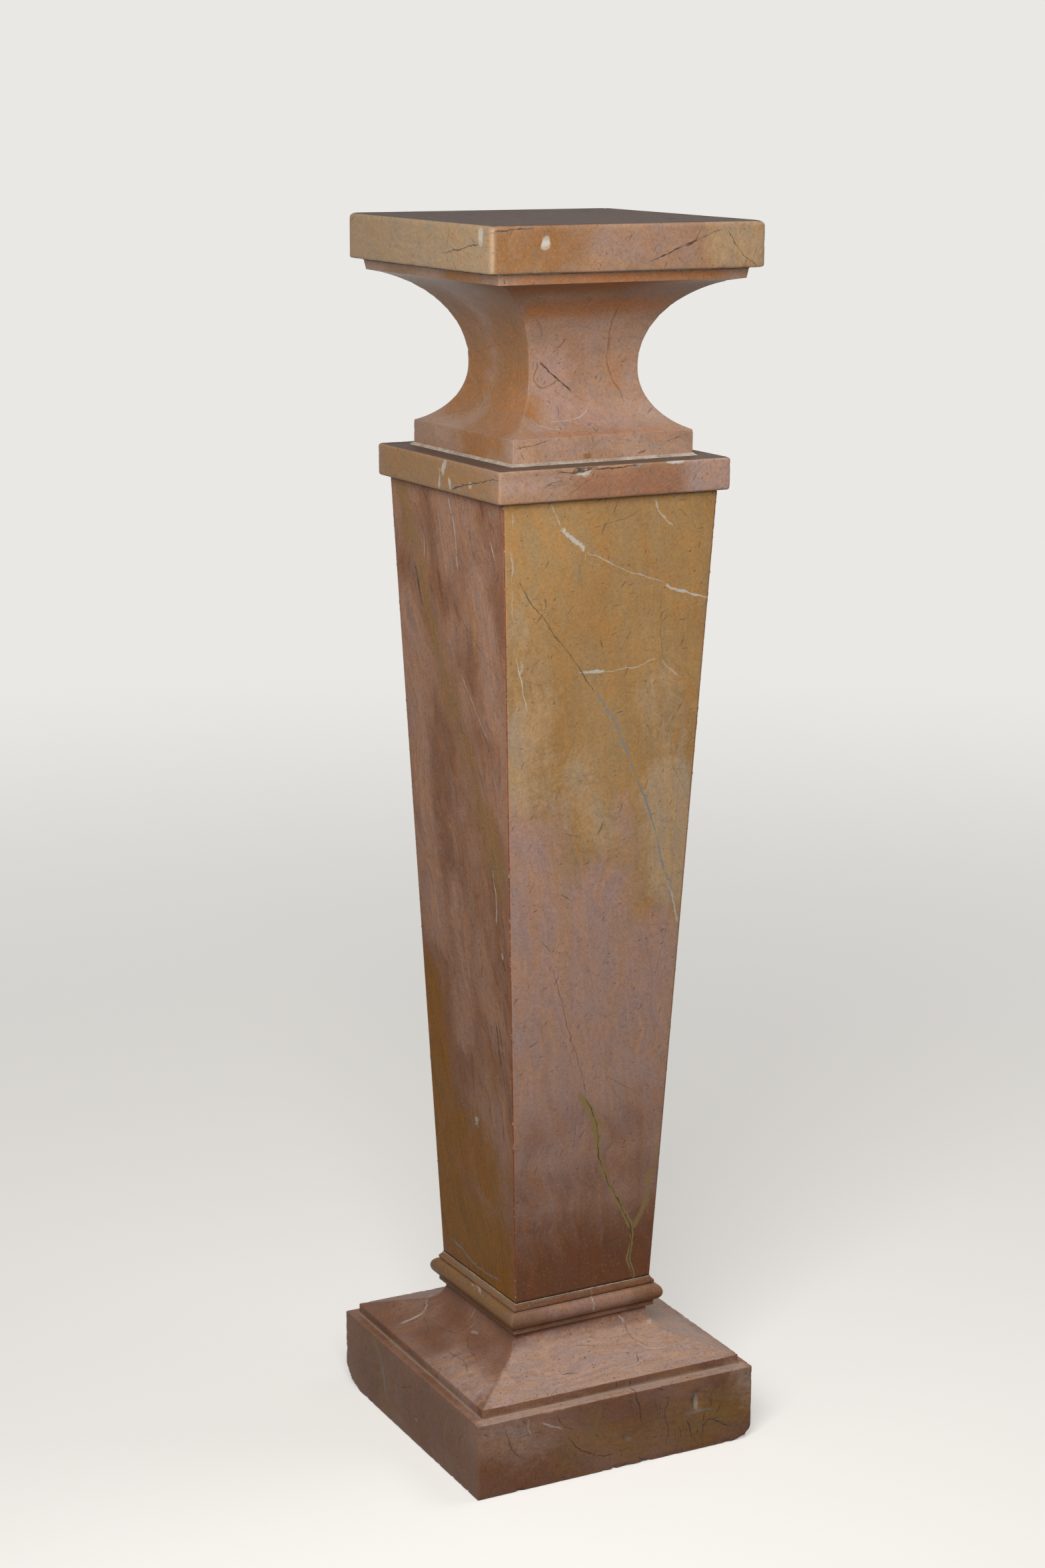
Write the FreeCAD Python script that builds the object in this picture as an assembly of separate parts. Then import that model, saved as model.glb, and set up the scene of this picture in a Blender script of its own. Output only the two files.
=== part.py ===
"""Square marble pedestal, built up in courses like the real one. Millimetres, +Z up.

From the floor: a base block with plinth, ledge and curved apron; a torus moulding; a shaft that
widens upwards, cased in four mitred slabs; a flat necking slab; a capital with a deep scotia; and
an abacus. Thin mortar beds lie between the courses, and an iron rod down the middle ties the
courses from the plinth to the capital.

Origin: centre of the plinth's underside. The -Y side is the front, +X is the right side.
"""
import FreeCAD, Part

import math
import os

Vector = FreeCAD.Vector

# ---- base block: plinth, ledge and apron in one stone ----
plinth_width = 296.0
plinth_height = 75.0
apron_width = 276.0             # the ledge is what the plinth leaves outside it
apron_edge_height = 9.5         # upright edge above the ledge
apron_rise = 38.2               # from the top of that edge to the top of the neck
apron_cove_radius = 24.0
neck_width = 144.8
wear_low_along = 36.0           # worn lower corner: the low facet's reach along the edges
wear_low_up = 9.0               # and up the arris
wear_steep_along = 19.0         # the same for the steep facet
wear_steep_up = 18.0
small_wear_scale = 0.6          # the right corner has lost less than the left
chip_radius = 22.0              # spall in the front of the plinth
chip_depth = 3.0
chip_from_right = 62.0
chip_below_ledge = 24.0

# ---- torus moulding ----
torus_fillet_width = 154.6
torus_fillet_height = 5.2
torus_width = 168.0
torus_radius = 8.8
quirk_height = 0.7              # narrow groove between torus and bead
bead_width = 155.4
bead_height = 2.2
bead_chamfer = 3.3
bead_top_width = 149.2

# ---- shaft: four mitred slabs ----
shaft_foot_width = 148.0
shaft_head_width = 220.4
shaft_height = 765.7
slab_thickness = 20.0
mitre_joint = 1.0               # width of the mastic in each mitre
cleat_leg = 26.0                # plaster cleat along each inner face
cleat_height = 110.0
cleat_end_distance = 60.0       # from the shaft's ends to the outer cleats
cramp_arm = 38.0                # from the corner of the cramp to its tip
cramp_width = 6.0
cramp_thickness = 3.0
cramp_leg = 12.0                # turned-in tip below the flat of the cramp
cramp_clearance = 0.3

# ---- necking slab ----
necking_width = 238.0
necking_height = 29.9
necking_round = 2.5

# ---- capital block ----
capital_foot_width = 187.2
capital_foot_height = 22.3
scotia_waist_width = 113.4
scotia_lower_radius = 57.0
scotia_waist_flat = 2.4
scotia_upper_radius = 81.0
capital_fillet_foot_width = 252.4
capital_fillet_width = 255.2
capital_fillet_height = 8.9

# ---- abacus ----
abacus_width = 277.0
abacus_height = 41.2
abacus_arris_round = 4.5
abacus_foot_round = 2.0

# ---- beds of mortar and mastic ----
torus_bed_thickness = 0.8
torus_bed_width = 142.0
shaft_foot_bed_thickness = 0.8
shaft_foot_bed_width = 149.0
shaft_head_bed_thickness = 0.8
shaft_head_bed_width = 217.0
capital_bed_thickness = 1.0
capital_bead_width = 3.2        # mortar that shows round the capital's foot
capital_bead_height = 2.4
abacus_bed_thickness = 1.0
abacus_bed_width = 254.0

# ---- ironwork ----
rod_diameter = 12.0
rod_hole_diameter = 16.0
rod_end_chamfer = 1.5
rod_projection = 6.0            # rod beyond each nut
nut_across_flats = 19.0
nut_height = 10.0
nut_bore_clearance = 0.05       # radial, rod to nut
washer_diameter = 38.0
washer_hole_diameter = 12.6
washer_thickness = 3.0
foot_recess_diameter = 46.0
foot_recess_depth = 30.0
head_recess_diameter = 46.0
head_recess_depth = 25.0
dowel_diameter = 10.0
dowel_centre_distance = 90.0
dowel_length_each_way = 22.0
dowel_clearance = 0.2

# ---- how the courses were set: each is a little out of square with the one below ----
column_turn = 1.4               # degrees, torus to abacus against the plinth
capital_turn = 0.7              # degrees, capital against the rest of the column

# ---- levels ----
apron_edge_top = plinth_height + apron_edge_height
base_height = apron_edge_top + apron_rise
torus_foot = base_height + torus_bed_thickness
torus_height = torus_fillet_height + 2 * torus_radius + quirk_height + bead_height + bead_chamfer
torus_top = torus_foot + torus_height
shaft_foot = torus_top + shaft_foot_bed_thickness
shaft_head = shaft_foot + shaft_height
necking_foot = shaft_head + shaft_head_bed_thickness
necking_top = necking_foot + necking_height
capital_foot = necking_top + capital_bed_thickness

# Length of the moulded bars that cross to make a square block: longer than any block is wide.
bar_length = 2 * max(plinth_width, abacus_width, capital_fillet_width)


def half(width):
    return width / 2.0


def turned(shape, degrees):
    """The shape turned about the pedestal's middle."""
    copy = shape.copy()
    copy.rotate(Vector(0, 0, 0), Vector(0, 0, 1), degrees)
    return copy


def upright_cylinder(diameter, foot, height, x=0.0, y=0.0):
    return Part.makeCylinder(half(diameter), height, Vector(x, y, foot))


def chamfered_cylinder(diameter, foot, height, chamfer):
    cylinder = upright_cylinder(diameter, foot, height)
    return cylinder.makeChamfer(chamfer, [edge for edge in cylinder.Edges if edge.Closed])


def square_slab(width, foot, height):
    """A plain square block centred on the axis."""
    return Part.makeBox(width, width, height, Vector(-half(width), -half(width), foot))


class SideProfile:
    """One side of a moulding, drawn upwards as (half width, level) with lines and arcs."""

    def __init__(self, half_width, level):
        self.first = self.last = (half_width, level)
        self.edges = []

    @staticmethod
    def point(place):
        return Vector(place[0], 0, place[1])

    def line(self, half_width, level):
        place = (half_width, level)
        self.edges.append(Part.LineSegment(self.point(self.last), self.point(place)).toShape())
        self.last = place
        return self

    def arc(self, centre, half_width, level):
        """Arc about centre to a place at the same distance from it, the short way round."""
        place = (half_width, level)
        radius = math.dist(centre, place)
        middle = (self.point(self.last) + self.point(place)) / 2 - self.point(centre)
        middle.normalize()
        through = self.point(centre) + middle * radius
        self.edges.append(Part.Arc(self.point(self.last), through, self.point(place)).toShape())
        self.last = place
        return self

    def half_round(self, radius):
        """A half circle that swells outwards, from the last place straight up."""
        centre = (self.last[0], self.last[1] + radius)
        place = (self.last[0], self.last[1] + 2 * radius)
        through = Vector(centre[0] + radius, 0, centre[1])
        self.edges.append(Part.Arc(self.point(self.last), through, self.point(place)).toShape())
        self.last = place
        return self

    def square_block(self):
        """The moulding run round a square plan, with mitred corners."""
        other_side = [edge.mirror(Vector(0, 0, 0), Vector(1, 0, 0)) for edge in self.edges]
        foot_and_head = []
        for half_width, level in (self.first, self.last):
            ends = self.point((-half_width, level)), self.point((half_width, level))
            foot_and_head.append(Part.LineSegment(*ends).toShape())
        outline = Part.Wire(Part.__sortEdges__(self.edges + other_side + foot_and_head))
        bar = Part.Face(outline).extrude(Vector(0, bar_length, 0))
        bar.translate(Vector(0, -half(bar_length), 0))
        return bar.common(turned(bar, 90)).Solids[0]


def corner_facet(corner_x, corner_y, along, up):
    """What one flat facet takes off a lower corner: along both lower edges and up the arris."""
    corner = Vector(corner_x, corner_y, 0)
    tips = [corner + Vector(-math.copysign(along, corner_x), 0, 0),
            corner + Vector(0, -math.copysign(along, corner_y), 0),
            corner + Vector(0, 0, up)]
    faces = [Part.Face(Part.makePolygon(tips + [tips[0]]))]
    for i in range(3):
        faces.append(Part.Face(Part.makePolygon([corner, tips[i], tips[(i + 1) % 3], corner])))
    return Part.makeSolid(Part.makeShell(faces))


def worn_corner(block, corner_x, corner_y, scale):
    """The block with a lower corner worn round, in a low and a steep facet."""
    low = corner_facet(corner_x, corner_y, wear_low_along * scale, wear_low_up * scale)
    steep = corner_facet(corner_x, corner_y, wear_steep_along * scale, wear_steep_up * scale)
    return block.cut(low).cut(steep)


def base_block():
    """Plinth, ledge, and the apron that curves up into the neck."""
    run = half(apron_width) - half(neck_width) - apron_cove_radius
    slope = math.acos(apron_cove_radius / math.hypot(apron_rise, run)) - math.atan2(run, apron_rise)
    cove_centre = (half(neck_width) + apron_cove_radius, base_height)
    cove_start = (cove_centre[0] - apron_cove_radius * math.sin(slope),
                  cove_centre[1] - apron_cove_radius * math.cos(slope))
    profile = SideProfile(half(plinth_width), 0)
    profile.line(half(plinth_width), plinth_height)
    profile.line(half(apron_width), plinth_height)
    profile.line(half(apron_width), apron_edge_top)
    profile.line(*cove_start)
    profile.arc(cove_centre, half(neck_width), base_height)
    block = profile.square_block()
    block = worn_corner(block, -half(plinth_width), half(plinth_width), 1.0)
    block = worn_corner(block, half(plinth_width), -half(plinth_width), small_wear_scale)
    chip_x = half(plinth_width) - chip_from_right
    chip_y = -half(plinth_width) + chip_depth - chip_radius
    block = block.cut(Part.makeSphere(chip_radius, Vector(chip_x, chip_y, plinth_height - chip_below_ledge)))
    block = block.cut(upright_cylinder(foot_recess_diameter, 0, foot_recess_depth))
    return block.cut(upright_cylinder(rod_hole_diameter, 0, base_height))


def torus_moulding():
    """Fillet, torus, quirk and chamfered bead, in one course."""
    centre = half(torus_width) - torus_radius
    profile = SideProfile(half(torus_fillet_width), torus_foot)
    profile.line(half(torus_fillet_width), torus_foot + torus_fillet_height)
    profile.line(centre, torus_foot + torus_fillet_height)
    profile.half_round(torus_radius)
    bead_foot = profile.last[1] + quirk_height
    profile.line(centre, bead_foot)
    profile.line(half(bead_width), bead_foot)
    profile.line(half(bead_width), bead_foot + bead_height)
    profile.line(half(bead_top_width), torus_top)
    block = profile.square_block()
    return block.cut(upright_cylinder(rod_hole_diameter, torus_foot, torus_height))


def shaft_half_width(level):
    """Half width of the shaft's faces at a level."""
    share = (level - shaft_foot) / shaft_height
    return half(shaft_foot_width) + share * (half(shaft_head_width) - half(shaft_foot_width))


def tapered_piece(plan_at, low, high):
    """A piece between two levels whose plan at each level is plan_at(level)."""
    foot = [Vector(x, y, low) for x, y in plan_at(low)]
    head = [Vector(x, y, high) for x, y in plan_at(high)]
    faces = [Part.Face(Part.makePolygon(ring + [ring[0]])) for ring in (foot, head)]
    for i in range(len(foot)):
        j = (i + 1) % len(foot)
        faces.append(Part.Face(Part.makePolygon([foot[i], foot[j], head[j], head[i], foot[i]])))
    return Part.makeSolid(Part.makeShell(faces))


# In plan, a mitre face lies this far from the diagonal, measured along the slab.
mitre_set_back = mitre_joint / math.sqrt(2)


def slab_plan(level):
    """Plan of the front slab: long outer edge, mitred ends, short inner edge."""
    outer = shaft_half_width(level)
    inner = outer - slab_thickness
    return [(-outer + mitre_set_back, -outer), (outer - mitre_set_back, -outer),
            (inner - mitre_set_back, -inner), (-inner + mitre_set_back, -inner)]


def mastic_plan(level):
    """Plan of the mastic in the left front mitre."""
    outer = shaft_half_width(level)
    inner = outer - slab_thickness
    return [(-outer, -outer + mitre_set_back), (-outer + mitre_set_back, -outer),
            (-inner + mitre_set_back, -inner), (-inner, -inner + mitre_set_back)]


def cleat_plan(level):
    """Plan of the plaster cleat in the left front inner corner."""
    inner = shaft_half_width(level) - slab_thickness
    return [(-inner, -inner + mitre_set_back), (-inner + mitre_set_back, -inner),
            (-inner + cleat_leg, -inner), (-inner, -inner + cleat_leg)]


def corner_cramp(end_level, into, spare):
    """Right-angle cramp in the left front corner, or its slot when spare is more than nothing.

    end_level is the end face of the slabs and into is -1 or +1, the way from there into the slabs.
    """
    centre = -(shaft_half_width(end_level) - slab_thickness / 2)
    breadth = cramp_width + 2 * spare
    near = centre - breadth / 2
    far = centre + cramp_arm + spare
    top = 0.0 if spare > 0 else cramp_clearance
    flat = cramp_clearance + cramp_thickness + spare
    tip = flat + cramp_leg
    tip_length = cramp_thickness + 2 * spare

    def block(x_low, x_high, y_low, y_high, depth_low, depth_high):
        low = end_level + min(into * depth_low, into * depth_high)
        size = (x_high - x_low, y_high - y_low, depth_high - depth_low)
        return Part.makeBox(*size, Vector(x_low, y_low, low))

    pieces = [block(near, far, near, near + breadth, top, flat),
              block(near, near + breadth, near, far, top, flat),
              block(far - tip_length, far, near, near + breadth, top, tip),
              block(near, near + breadth, far - tip_length, far, top, tip)]
    return pieces[0].multiFuse(pieces[1:]).removeSplitter()


def four_corners(piece):
    """The piece of the left front corner in all four corners."""
    return [turned(piece, 90 * quarter) for quarter in range(4)]


cramp_slots = four_corners(corner_cramp(shaft_head, -1, cramp_clearance))
cramp_slots += four_corners(corner_cramp(shaft_foot, 1, cramp_clearance))


def shaft_slab(quarter):
    """One slab of the casing: front, right, back or left for quarter 0 to 3."""
    slab = turned(tapered_piece(slab_plan, shaft_foot, shaft_head), 90 * quarter)
    return slab.cut(cramp_slots)


def arris_mastic():
    strips = four_corners(tapered_piece(mastic_plan, shaft_foot, shaft_head))
    return Part.makeCompound([strip.cut(cramp_slots) for strip in strips])


def corner_cleats():
    low = shaft_foot + cleat_end_distance
    high = shaft_head - cleat_end_distance - cleat_height
    cleats = []
    for start in (low, (low + high) / 2, high):
        cleats += four_corners(tapered_piece(cleat_plan, start, start + cleat_height))
    return Part.makeCompound(cleats)


def necking_slab():
    slab = square_slab(necking_width, necking_foot, necking_height)
    slab = slab.makeFillet(necking_round, slab.Edges)
    return slab.cut(upright_cylinder(rod_hole_diameter, necking_foot, necking_height))


def capital_profile():
    """Foot fillet, scotia of two hollows with a short upright waist, and upper fillet."""
    waist = half(scotia_waist_width)
    foot_edge = capital_foot + capital_foot_height
    lower_centre_x = waist + scotia_lower_radius
    lower_rise = math.sqrt(scotia_lower_radius ** 2 - (lower_centre_x - half(capital_foot_width)) ** 2)
    lower_centre = (lower_centre_x, foot_edge + lower_rise)
    waist_top = lower_centre[1] + scotia_waist_flat
    upper_centre = (waist + scotia_upper_radius, waist_top)
    fillet_foot = half(capital_fillet_foot_width)
    upper_rise = math.sqrt(scotia_upper_radius ** 2 - (upper_centre[0] - fillet_foot) ** 2)
    profile = SideProfile(half(capital_foot_width), capital_foot)
    profile.line(half(capital_foot_width), foot_edge)
    profile.arc(lower_centre, waist, lower_centre[1])
    profile.line(waist, waist_top)
    profile.arc(upper_centre, fillet_foot, waist_top + upper_rise)
    profile.line(half(capital_fillet_width), waist_top + upper_rise + capital_fillet_height)
    return profile


capital_side = capital_profile()
capital_top = capital_side.last[1]
abacus_foot = capital_top + abacus_bed_thickness
dowel_places = (-half(dowel_centre_distance), half(dowel_centre_distance))


def dowel_pieces(diameter, end_clearance):
    """Dowels between capital and abacus, or their holes when the ends have clearance."""
    foot = capital_top - dowel_length_each_way - end_clearance
    length = abacus_foot + dowel_length_each_way + end_clearance - foot
    return [upright_cylinder(diameter, foot, length, x) for x in dowel_places]


dowel_holes = dowel_pieces(dowel_diameter + 2 * dowel_clearance, dowel_clearance)


def capital_block():
    block = capital_side.square_block()
    block = block.cut(upright_cylinder(rod_hole_diameter, capital_foot, capital_top - capital_foot))
    recess_floor = capital_top - head_recess_depth
    block = block.cut(upright_cylinder(head_recess_diameter, recess_floor, head_recess_depth))
    return block.cut(dowel_holes)


def abacus_slab():
    slab = square_slab(abacus_width, abacus_foot, abacus_height)
    middle = abacus_foot + abacus_height / 2
    slab = slab.makeFillet(abacus_arris_round, [e for e in slab.Edges if e.BoundBox.ZMax > middle])
    low = abacus_foot + half(abacus_foot_round)
    slab = slab.makeFillet(abacus_foot_round, [e for e in slab.Edges if e.BoundBox.ZMax < low])
    return slab.cut([turned(hole, capital_turn) for hole in dowel_holes])


def bed(width, foot, thickness, hole_diameter=rod_hole_diameter):
    """A thin square bed of mortar with the rod's hole through it."""
    return square_slab(width, foot, thickness).cut(upright_cylinder(hole_diameter, foot, thickness))


def capital_bed():
    """Bed under the capital with the sloped bead of mortar that shows round its foot."""
    bead_foot_half = half(capital_foot_width) + capital_bead_width

    def bead_plan(level):
        side = bead_foot_half - capital_bead_width * (level - necking_top) / capital_bead_height
        return [(-side, -side), (side, -side), (side, side), (-side, side)]

    bead = tapered_piece(bead_plan, necking_top, necking_top + capital_bead_height)
    stone = square_slab(capital_foot_width, capital_foot, capital_foot_height)
    return bead.cut(stone).cut(upright_cylinder(rod_hole_diameter, necking_top, capital_bed_thickness))


def abacus_bed():
    plate = bed(abacus_bed_width, capital_top, abacus_bed_thickness, head_recess_diameter)
    return plate.cut(dowel_holes)


def washer(foot):
    ring = upright_cylinder(washer_diameter, foot, washer_thickness)
    return ring.cut(upright_cylinder(washer_hole_diameter, foot, washer_thickness))


def nut(foot):
    """Hexagon nut with chamfered corners."""
    corner_radius = nut_across_flats / math.sqrt(3)
    turns = [math.radians(60 * i) for i in range(7)]
    corners = [Vector(corner_radius * math.cos(t), corner_radius * math.sin(t), foot) for t in turns]
    hexagon = Part.Face(Part.makePolygon(corners)).extrude(Vector(0, 0, nut_height))
    corner_chamfer = corner_radius - half(nut_across_flats)
    blank = chamfered_cylinder(2 * corner_radius, foot, nut_height, corner_chamfer)
    bore = upright_cylinder(rod_diameter + 2 * nut_bore_clearance, foot, nut_height)
    return hexagon.common(blank).cut(bore).Solids[0]


lower_washer_foot = foot_recess_depth - washer_thickness
lower_nut_foot = lower_washer_foot - nut_height
upper_washer_foot = capital_top - head_recess_depth
upper_nut_foot = upper_washer_foot + washer_thickness
rod_foot = lower_nut_foot - rod_projection
rod_head = upper_nut_foot + nut_height + rod_projection


def tie_rod():
    return chamfered_cylinder(rod_diameter, rod_foot, rod_head - rod_foot, rod_end_chamfer)


column = column_turn
capital = column_turn + capital_turn
pieces = {
    "base_block": (base_block(), 0),
    "torus_bed": (bed(torus_bed_width, base_height, torus_bed_thickness), column),
    "torus_moulding": (torus_moulding(), column),
    "shaft_foot_bed": (bed(shaft_foot_bed_width, torus_top, shaft_foot_bed_thickness), column),
    "shaft_front_slab": (shaft_slab(0), column),
    "shaft_right_slab": (shaft_slab(1), column),
    "shaft_back_slab": (shaft_slab(2), column),
    "shaft_left_slab": (shaft_slab(3), column),
    "arris_mastic": (arris_mastic(), column),
    "corner_cleats": (corner_cleats(), column),
    "head_cramps": (Part.makeCompound(four_corners(corner_cramp(shaft_head, -1, 0))), column),
    "foot_cramps": (Part.makeCompound(four_corners(corner_cramp(shaft_foot, 1, 0))), column),
    "shaft_head_bed": (bed(shaft_head_bed_width, shaft_head, shaft_head_bed_thickness), column),
    "necking_slab": (necking_slab(), column),
    "capital_bed": (capital_bed(), capital),
    "capital_block": (capital_block(), capital),
    "abacus_bed": (abacus_bed(), capital),
    "abacus_slab": (abacus_slab(), column),
    "abacus_dowels": (Part.makeCompound(dowel_pieces(dowel_diameter, 0)), capital),
    "tie_rod": (tie_rod(), 0),
    "bottom_washer": (washer(lower_washer_foot), 0),
    "bottom_nut": (nut(lower_nut_foot), 0),
    "top_washer": (washer(upper_washer_foot), 0),
    "top_nut": (nut(upper_nut_foot), 0),
}

os.makedirs("parts", exist_ok=True)
for name, (shape, turn) in pieces.items():
    placed = turned(shape, turn)
    if not placed.isValid():
        raise ValueError(name + " is not a valid solid")
    placed.exportStep(f"parts/{name}.step")
    print(f"{name:18s} solids {len(placed.Solids)}  volume {placed.Volume / 1000:9.1f} cm3")

print("overall height", round(abacus_foot + abacus_height, 2))
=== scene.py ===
"""The marble pedestal dressed for its picture, course by course from the floor up.

Lengths are in millimetres as the mason would measure them and become metres through MM. A
pattern of so many mm has a noise scale of 1000 over that size.
"""
import math

import bpy
import numpy as np
from mathutils import Matrix, Vector, noise


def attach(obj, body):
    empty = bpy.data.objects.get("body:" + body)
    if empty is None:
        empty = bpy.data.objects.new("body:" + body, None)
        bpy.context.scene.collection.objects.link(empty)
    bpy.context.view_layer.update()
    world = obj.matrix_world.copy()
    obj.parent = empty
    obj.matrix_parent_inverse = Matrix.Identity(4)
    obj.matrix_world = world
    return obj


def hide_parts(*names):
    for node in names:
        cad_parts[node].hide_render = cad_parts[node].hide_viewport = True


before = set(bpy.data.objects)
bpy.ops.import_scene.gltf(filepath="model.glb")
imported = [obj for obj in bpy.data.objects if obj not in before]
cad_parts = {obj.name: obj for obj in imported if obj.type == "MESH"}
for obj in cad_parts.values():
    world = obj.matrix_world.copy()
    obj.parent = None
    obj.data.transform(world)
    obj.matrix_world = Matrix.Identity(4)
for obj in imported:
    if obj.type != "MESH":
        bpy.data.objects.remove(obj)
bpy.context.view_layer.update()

MM = 0.001

# ---- Base block ----
# One block of dusty pink marble, sawn square, with a plinth, a narrow ledge and an apron that
# curves up into the neck. Honed and waxed by hand; it stands on the floor and has lost its
# lower corners, some of the lower arris and a spall in the front to knocks.


def colour(hexcode):
    """An sRGB hex value as the linear colour that a shader takes."""
    parts = [int(hexcode[i:i + 2], 16) / 255 for i in (1, 3, 5)]
    return [p / 12.92 if p <= 0.04045 else ((p + 0.055) / 1.055) ** 2.4 for p in parts] + [1.0]


def add(tree, kind, inputs=(), **settings):
    """Adds a node with its settings and returns it.

    Inputs are values, or nodes and sockets to link from, in order or by socket.
    """
    node = tree.nodes.new(kind)
    for key, value in settings.items():
        setattr(node, key, value)
    pairs = inputs.items() if isinstance(inputs, dict) else enumerate(inputs)
    for key, value in pairs:
        if isinstance(value, bpy.types.Node):
            value = next(socket for socket in value.outputs if socket.enabled)
        if isinstance(value, bpy.types.NodeSocket):
            tree.links.new(value, node.inputs[key])
        else:
            node.inputs[key].default_value = value
    return node


def empty_tree(owner):
    """The node tree of a new material or world, emptied."""
    owner.use_nodes = True
    owner.node_tree.nodes.clear()
    return owner.node_tree


def open_group(name, takes, gives, inputs):
    """A new geometry group that takes and gives geometry, with its named inputs."""
    tree = bpy.data.node_groups.new(name, "GeometryNodeTree")
    tree.interface.new_socket(takes, in_out="INPUT", socket_type="NodeSocketGeometry")
    for socket, kind in inputs:
        tree.interface.new_socket(socket, in_out="INPUT", socket_type="NodeSocket" + kind)
    tree.interface.new_socket(gives, in_out="OUTPUT", socket_type="NodeSocketGeometry")
    return tree, add(tree, "NodeGroupInput").outputs


def moulding_tree():
    """Runs a drawn section round a square plan and takes off what the hand and wear took.

    The drawing holds two chains of points. In the section, x is the half width, y how round the
    plan is there, from 0 square to 1 circle, and z the level; its edge mark is above 0 on an
    arris. The plan is a unit square; its edge mark is the share of the way from the arris, and
    its lean is the way the surface faces there.
    """
    tree, given = open_group("section run round a square", "Drawing", "Block", (
        ("Section places", "Int"), ("Arris easing", "Float"), ("Unevenness", "Float"),
        ("Unevenness length", "Float"), ("Chip depth", "Float"), ("Chip length", "Float"),
        ("Seed", "Float"), ("Stone", "Material")))
    drawing = given["Drawing"]
    rows = given["Section places"]
    count = add(tree, "GeometryNodeAttributeDomainSize", [drawing])
    columns = add(tree, "ShaderNodeMath", [count, rows], operation="SUBTRACT")
    grid = add(tree, "GeometryNodeMeshGrid", {"Vertices X": columns, "Vertices Y": rows})
    index = add(tree, "GeometryNodeInputIndex")
    row = add(tree, "ShaderNodeMath", [index, rows], operation="MODULO")
    column = add(tree, "ShaderNodeMath", [index, rows], operation="DIVIDE")
    column = add(tree, "ShaderNodeMath", [column], operation="FLOOR")
    column = add(tree, "ShaderNodeMath", [column, rows], operation="ADD")

    position = add(tree, "GeometryNodeInputPosition")
    lean = add(tree, "GeometryNodeInputNamedAttribute", {"Name": "lean"},
               data_type="FLOAT_VECTOR")
    edge = add(tree, "GeometryNodeInputNamedAttribute", {"Name": "edge"}, data_type="FLOAT")
    section, plan, leaning, section_edge, from_arris = (
        add(tree, "GeometryNodeSampleIndex", {
            "Geometry": drawing, "Value": value, "Index": place}, data_type=kind)
        for value, place, kind in (
            (position, row, "FLOAT_VECTOR"), (position, column, "FLOAT_VECTOR"),
            (lean, column, "FLOAT_VECTOR"), (edge, row, "FLOAT"), (edge, column, "FLOAT")))

    # The square plan at this half width, its corner eased, or a circle round the rod's hole.
    section = add(tree, "ShaderNodeSeparateXYZ", [section]).outputs
    half_of_half = add(tree, "ShaderNodeMath", [section["X"], 0.5], operation="MULTIPLY")
    easing = add(tree, "ShaderNodeMath", [given["Arris easing"], half_of_half],
                 operation="MINIMUM")
    flat = add(tree, "ShaderNodeMath", [section["X"], easing], operation="SUBTRACT")
    inner = add(tree, "ShaderNodeVectorMath", {0: plan, "Scale": flat}, operation="SCALE")
    outer = add(tree, "ShaderNodeVectorMath", {0: leaning, "Scale": easing}, operation="SCALE")
    square = add(tree, "ShaderNodeVectorMath", [inner, outer], operation="ADD")
    circle = add(tree, "ShaderNodeVectorMath", [plan], operation="NORMALIZE")
    circle = add(tree, "ShaderNodeVectorMath", {0: circle, "Scale": section["X"]},
                 operation="SCALE")
    outline = add(tree, "ShaderNodeMix", {0: section["Y"], 4: square, 5: circle},
                  data_type="VECTOR")
    level = add(tree, "ShaderNodeCombineXYZ", {2: section["Z"]})
    place = add(tree, "ShaderNodeVectorMath", [outline, level], operation="ADD")
    shaped = add(tree, "GeometryNodeSetPosition", {"Geometry": grid, "Position": place})

    # An upright arris counts as an edge too, fading over a few millimetres, but not in a hole.
    reach = add(tree, "ShaderNodeMath", [from_arris, section["X"]], operation="MULTIPLY")
    upright = add(tree, "ShaderNodeMapRange", [reach, 0.0, 0.004, 1.0, 0.0],
                  interpolation_type="SMOOTHSTEP")
    squareness = add(tree, "ShaderNodeMath", [1.0, section["Y"]], operation="SUBTRACT")
    upright = add(tree, "ShaderNodeMath", [upright, squareness], operation="MULTIPLY")
    exposed = add(tree, "ShaderNodeMath", [section_edge, -0.2], operation="GREATER_THAN")
    upright = add(tree, "ShaderNodeMath", [upright, exposed], operation="MULTIPLY")
    shown = add(tree, "ShaderNodeMath", [section_edge, 0.0], operation="GREATER_THAN")
    marked = add(tree, "ShaderNodeMath", [section_edge, upright], operation="MAXIMUM")
    inside = add(tree, "ShaderNodeMath", [section_edge, upright], operation="ADD")
    marked = add(tree, "ShaderNodeMix", {0: shown, 2: inside, 3: marked}, data_type="FLOAT")
    kept = add(tree, "GeometryNodeStoreNamedAttribute", {
        "Geometry": shaped, "Name": "edge", "Value": marked}, data_type="FLOAT")
    welded = add(tree, "GeometryNodeMergeByDistance", {"Geometry": kept, "Distance": 1e-6})

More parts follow.
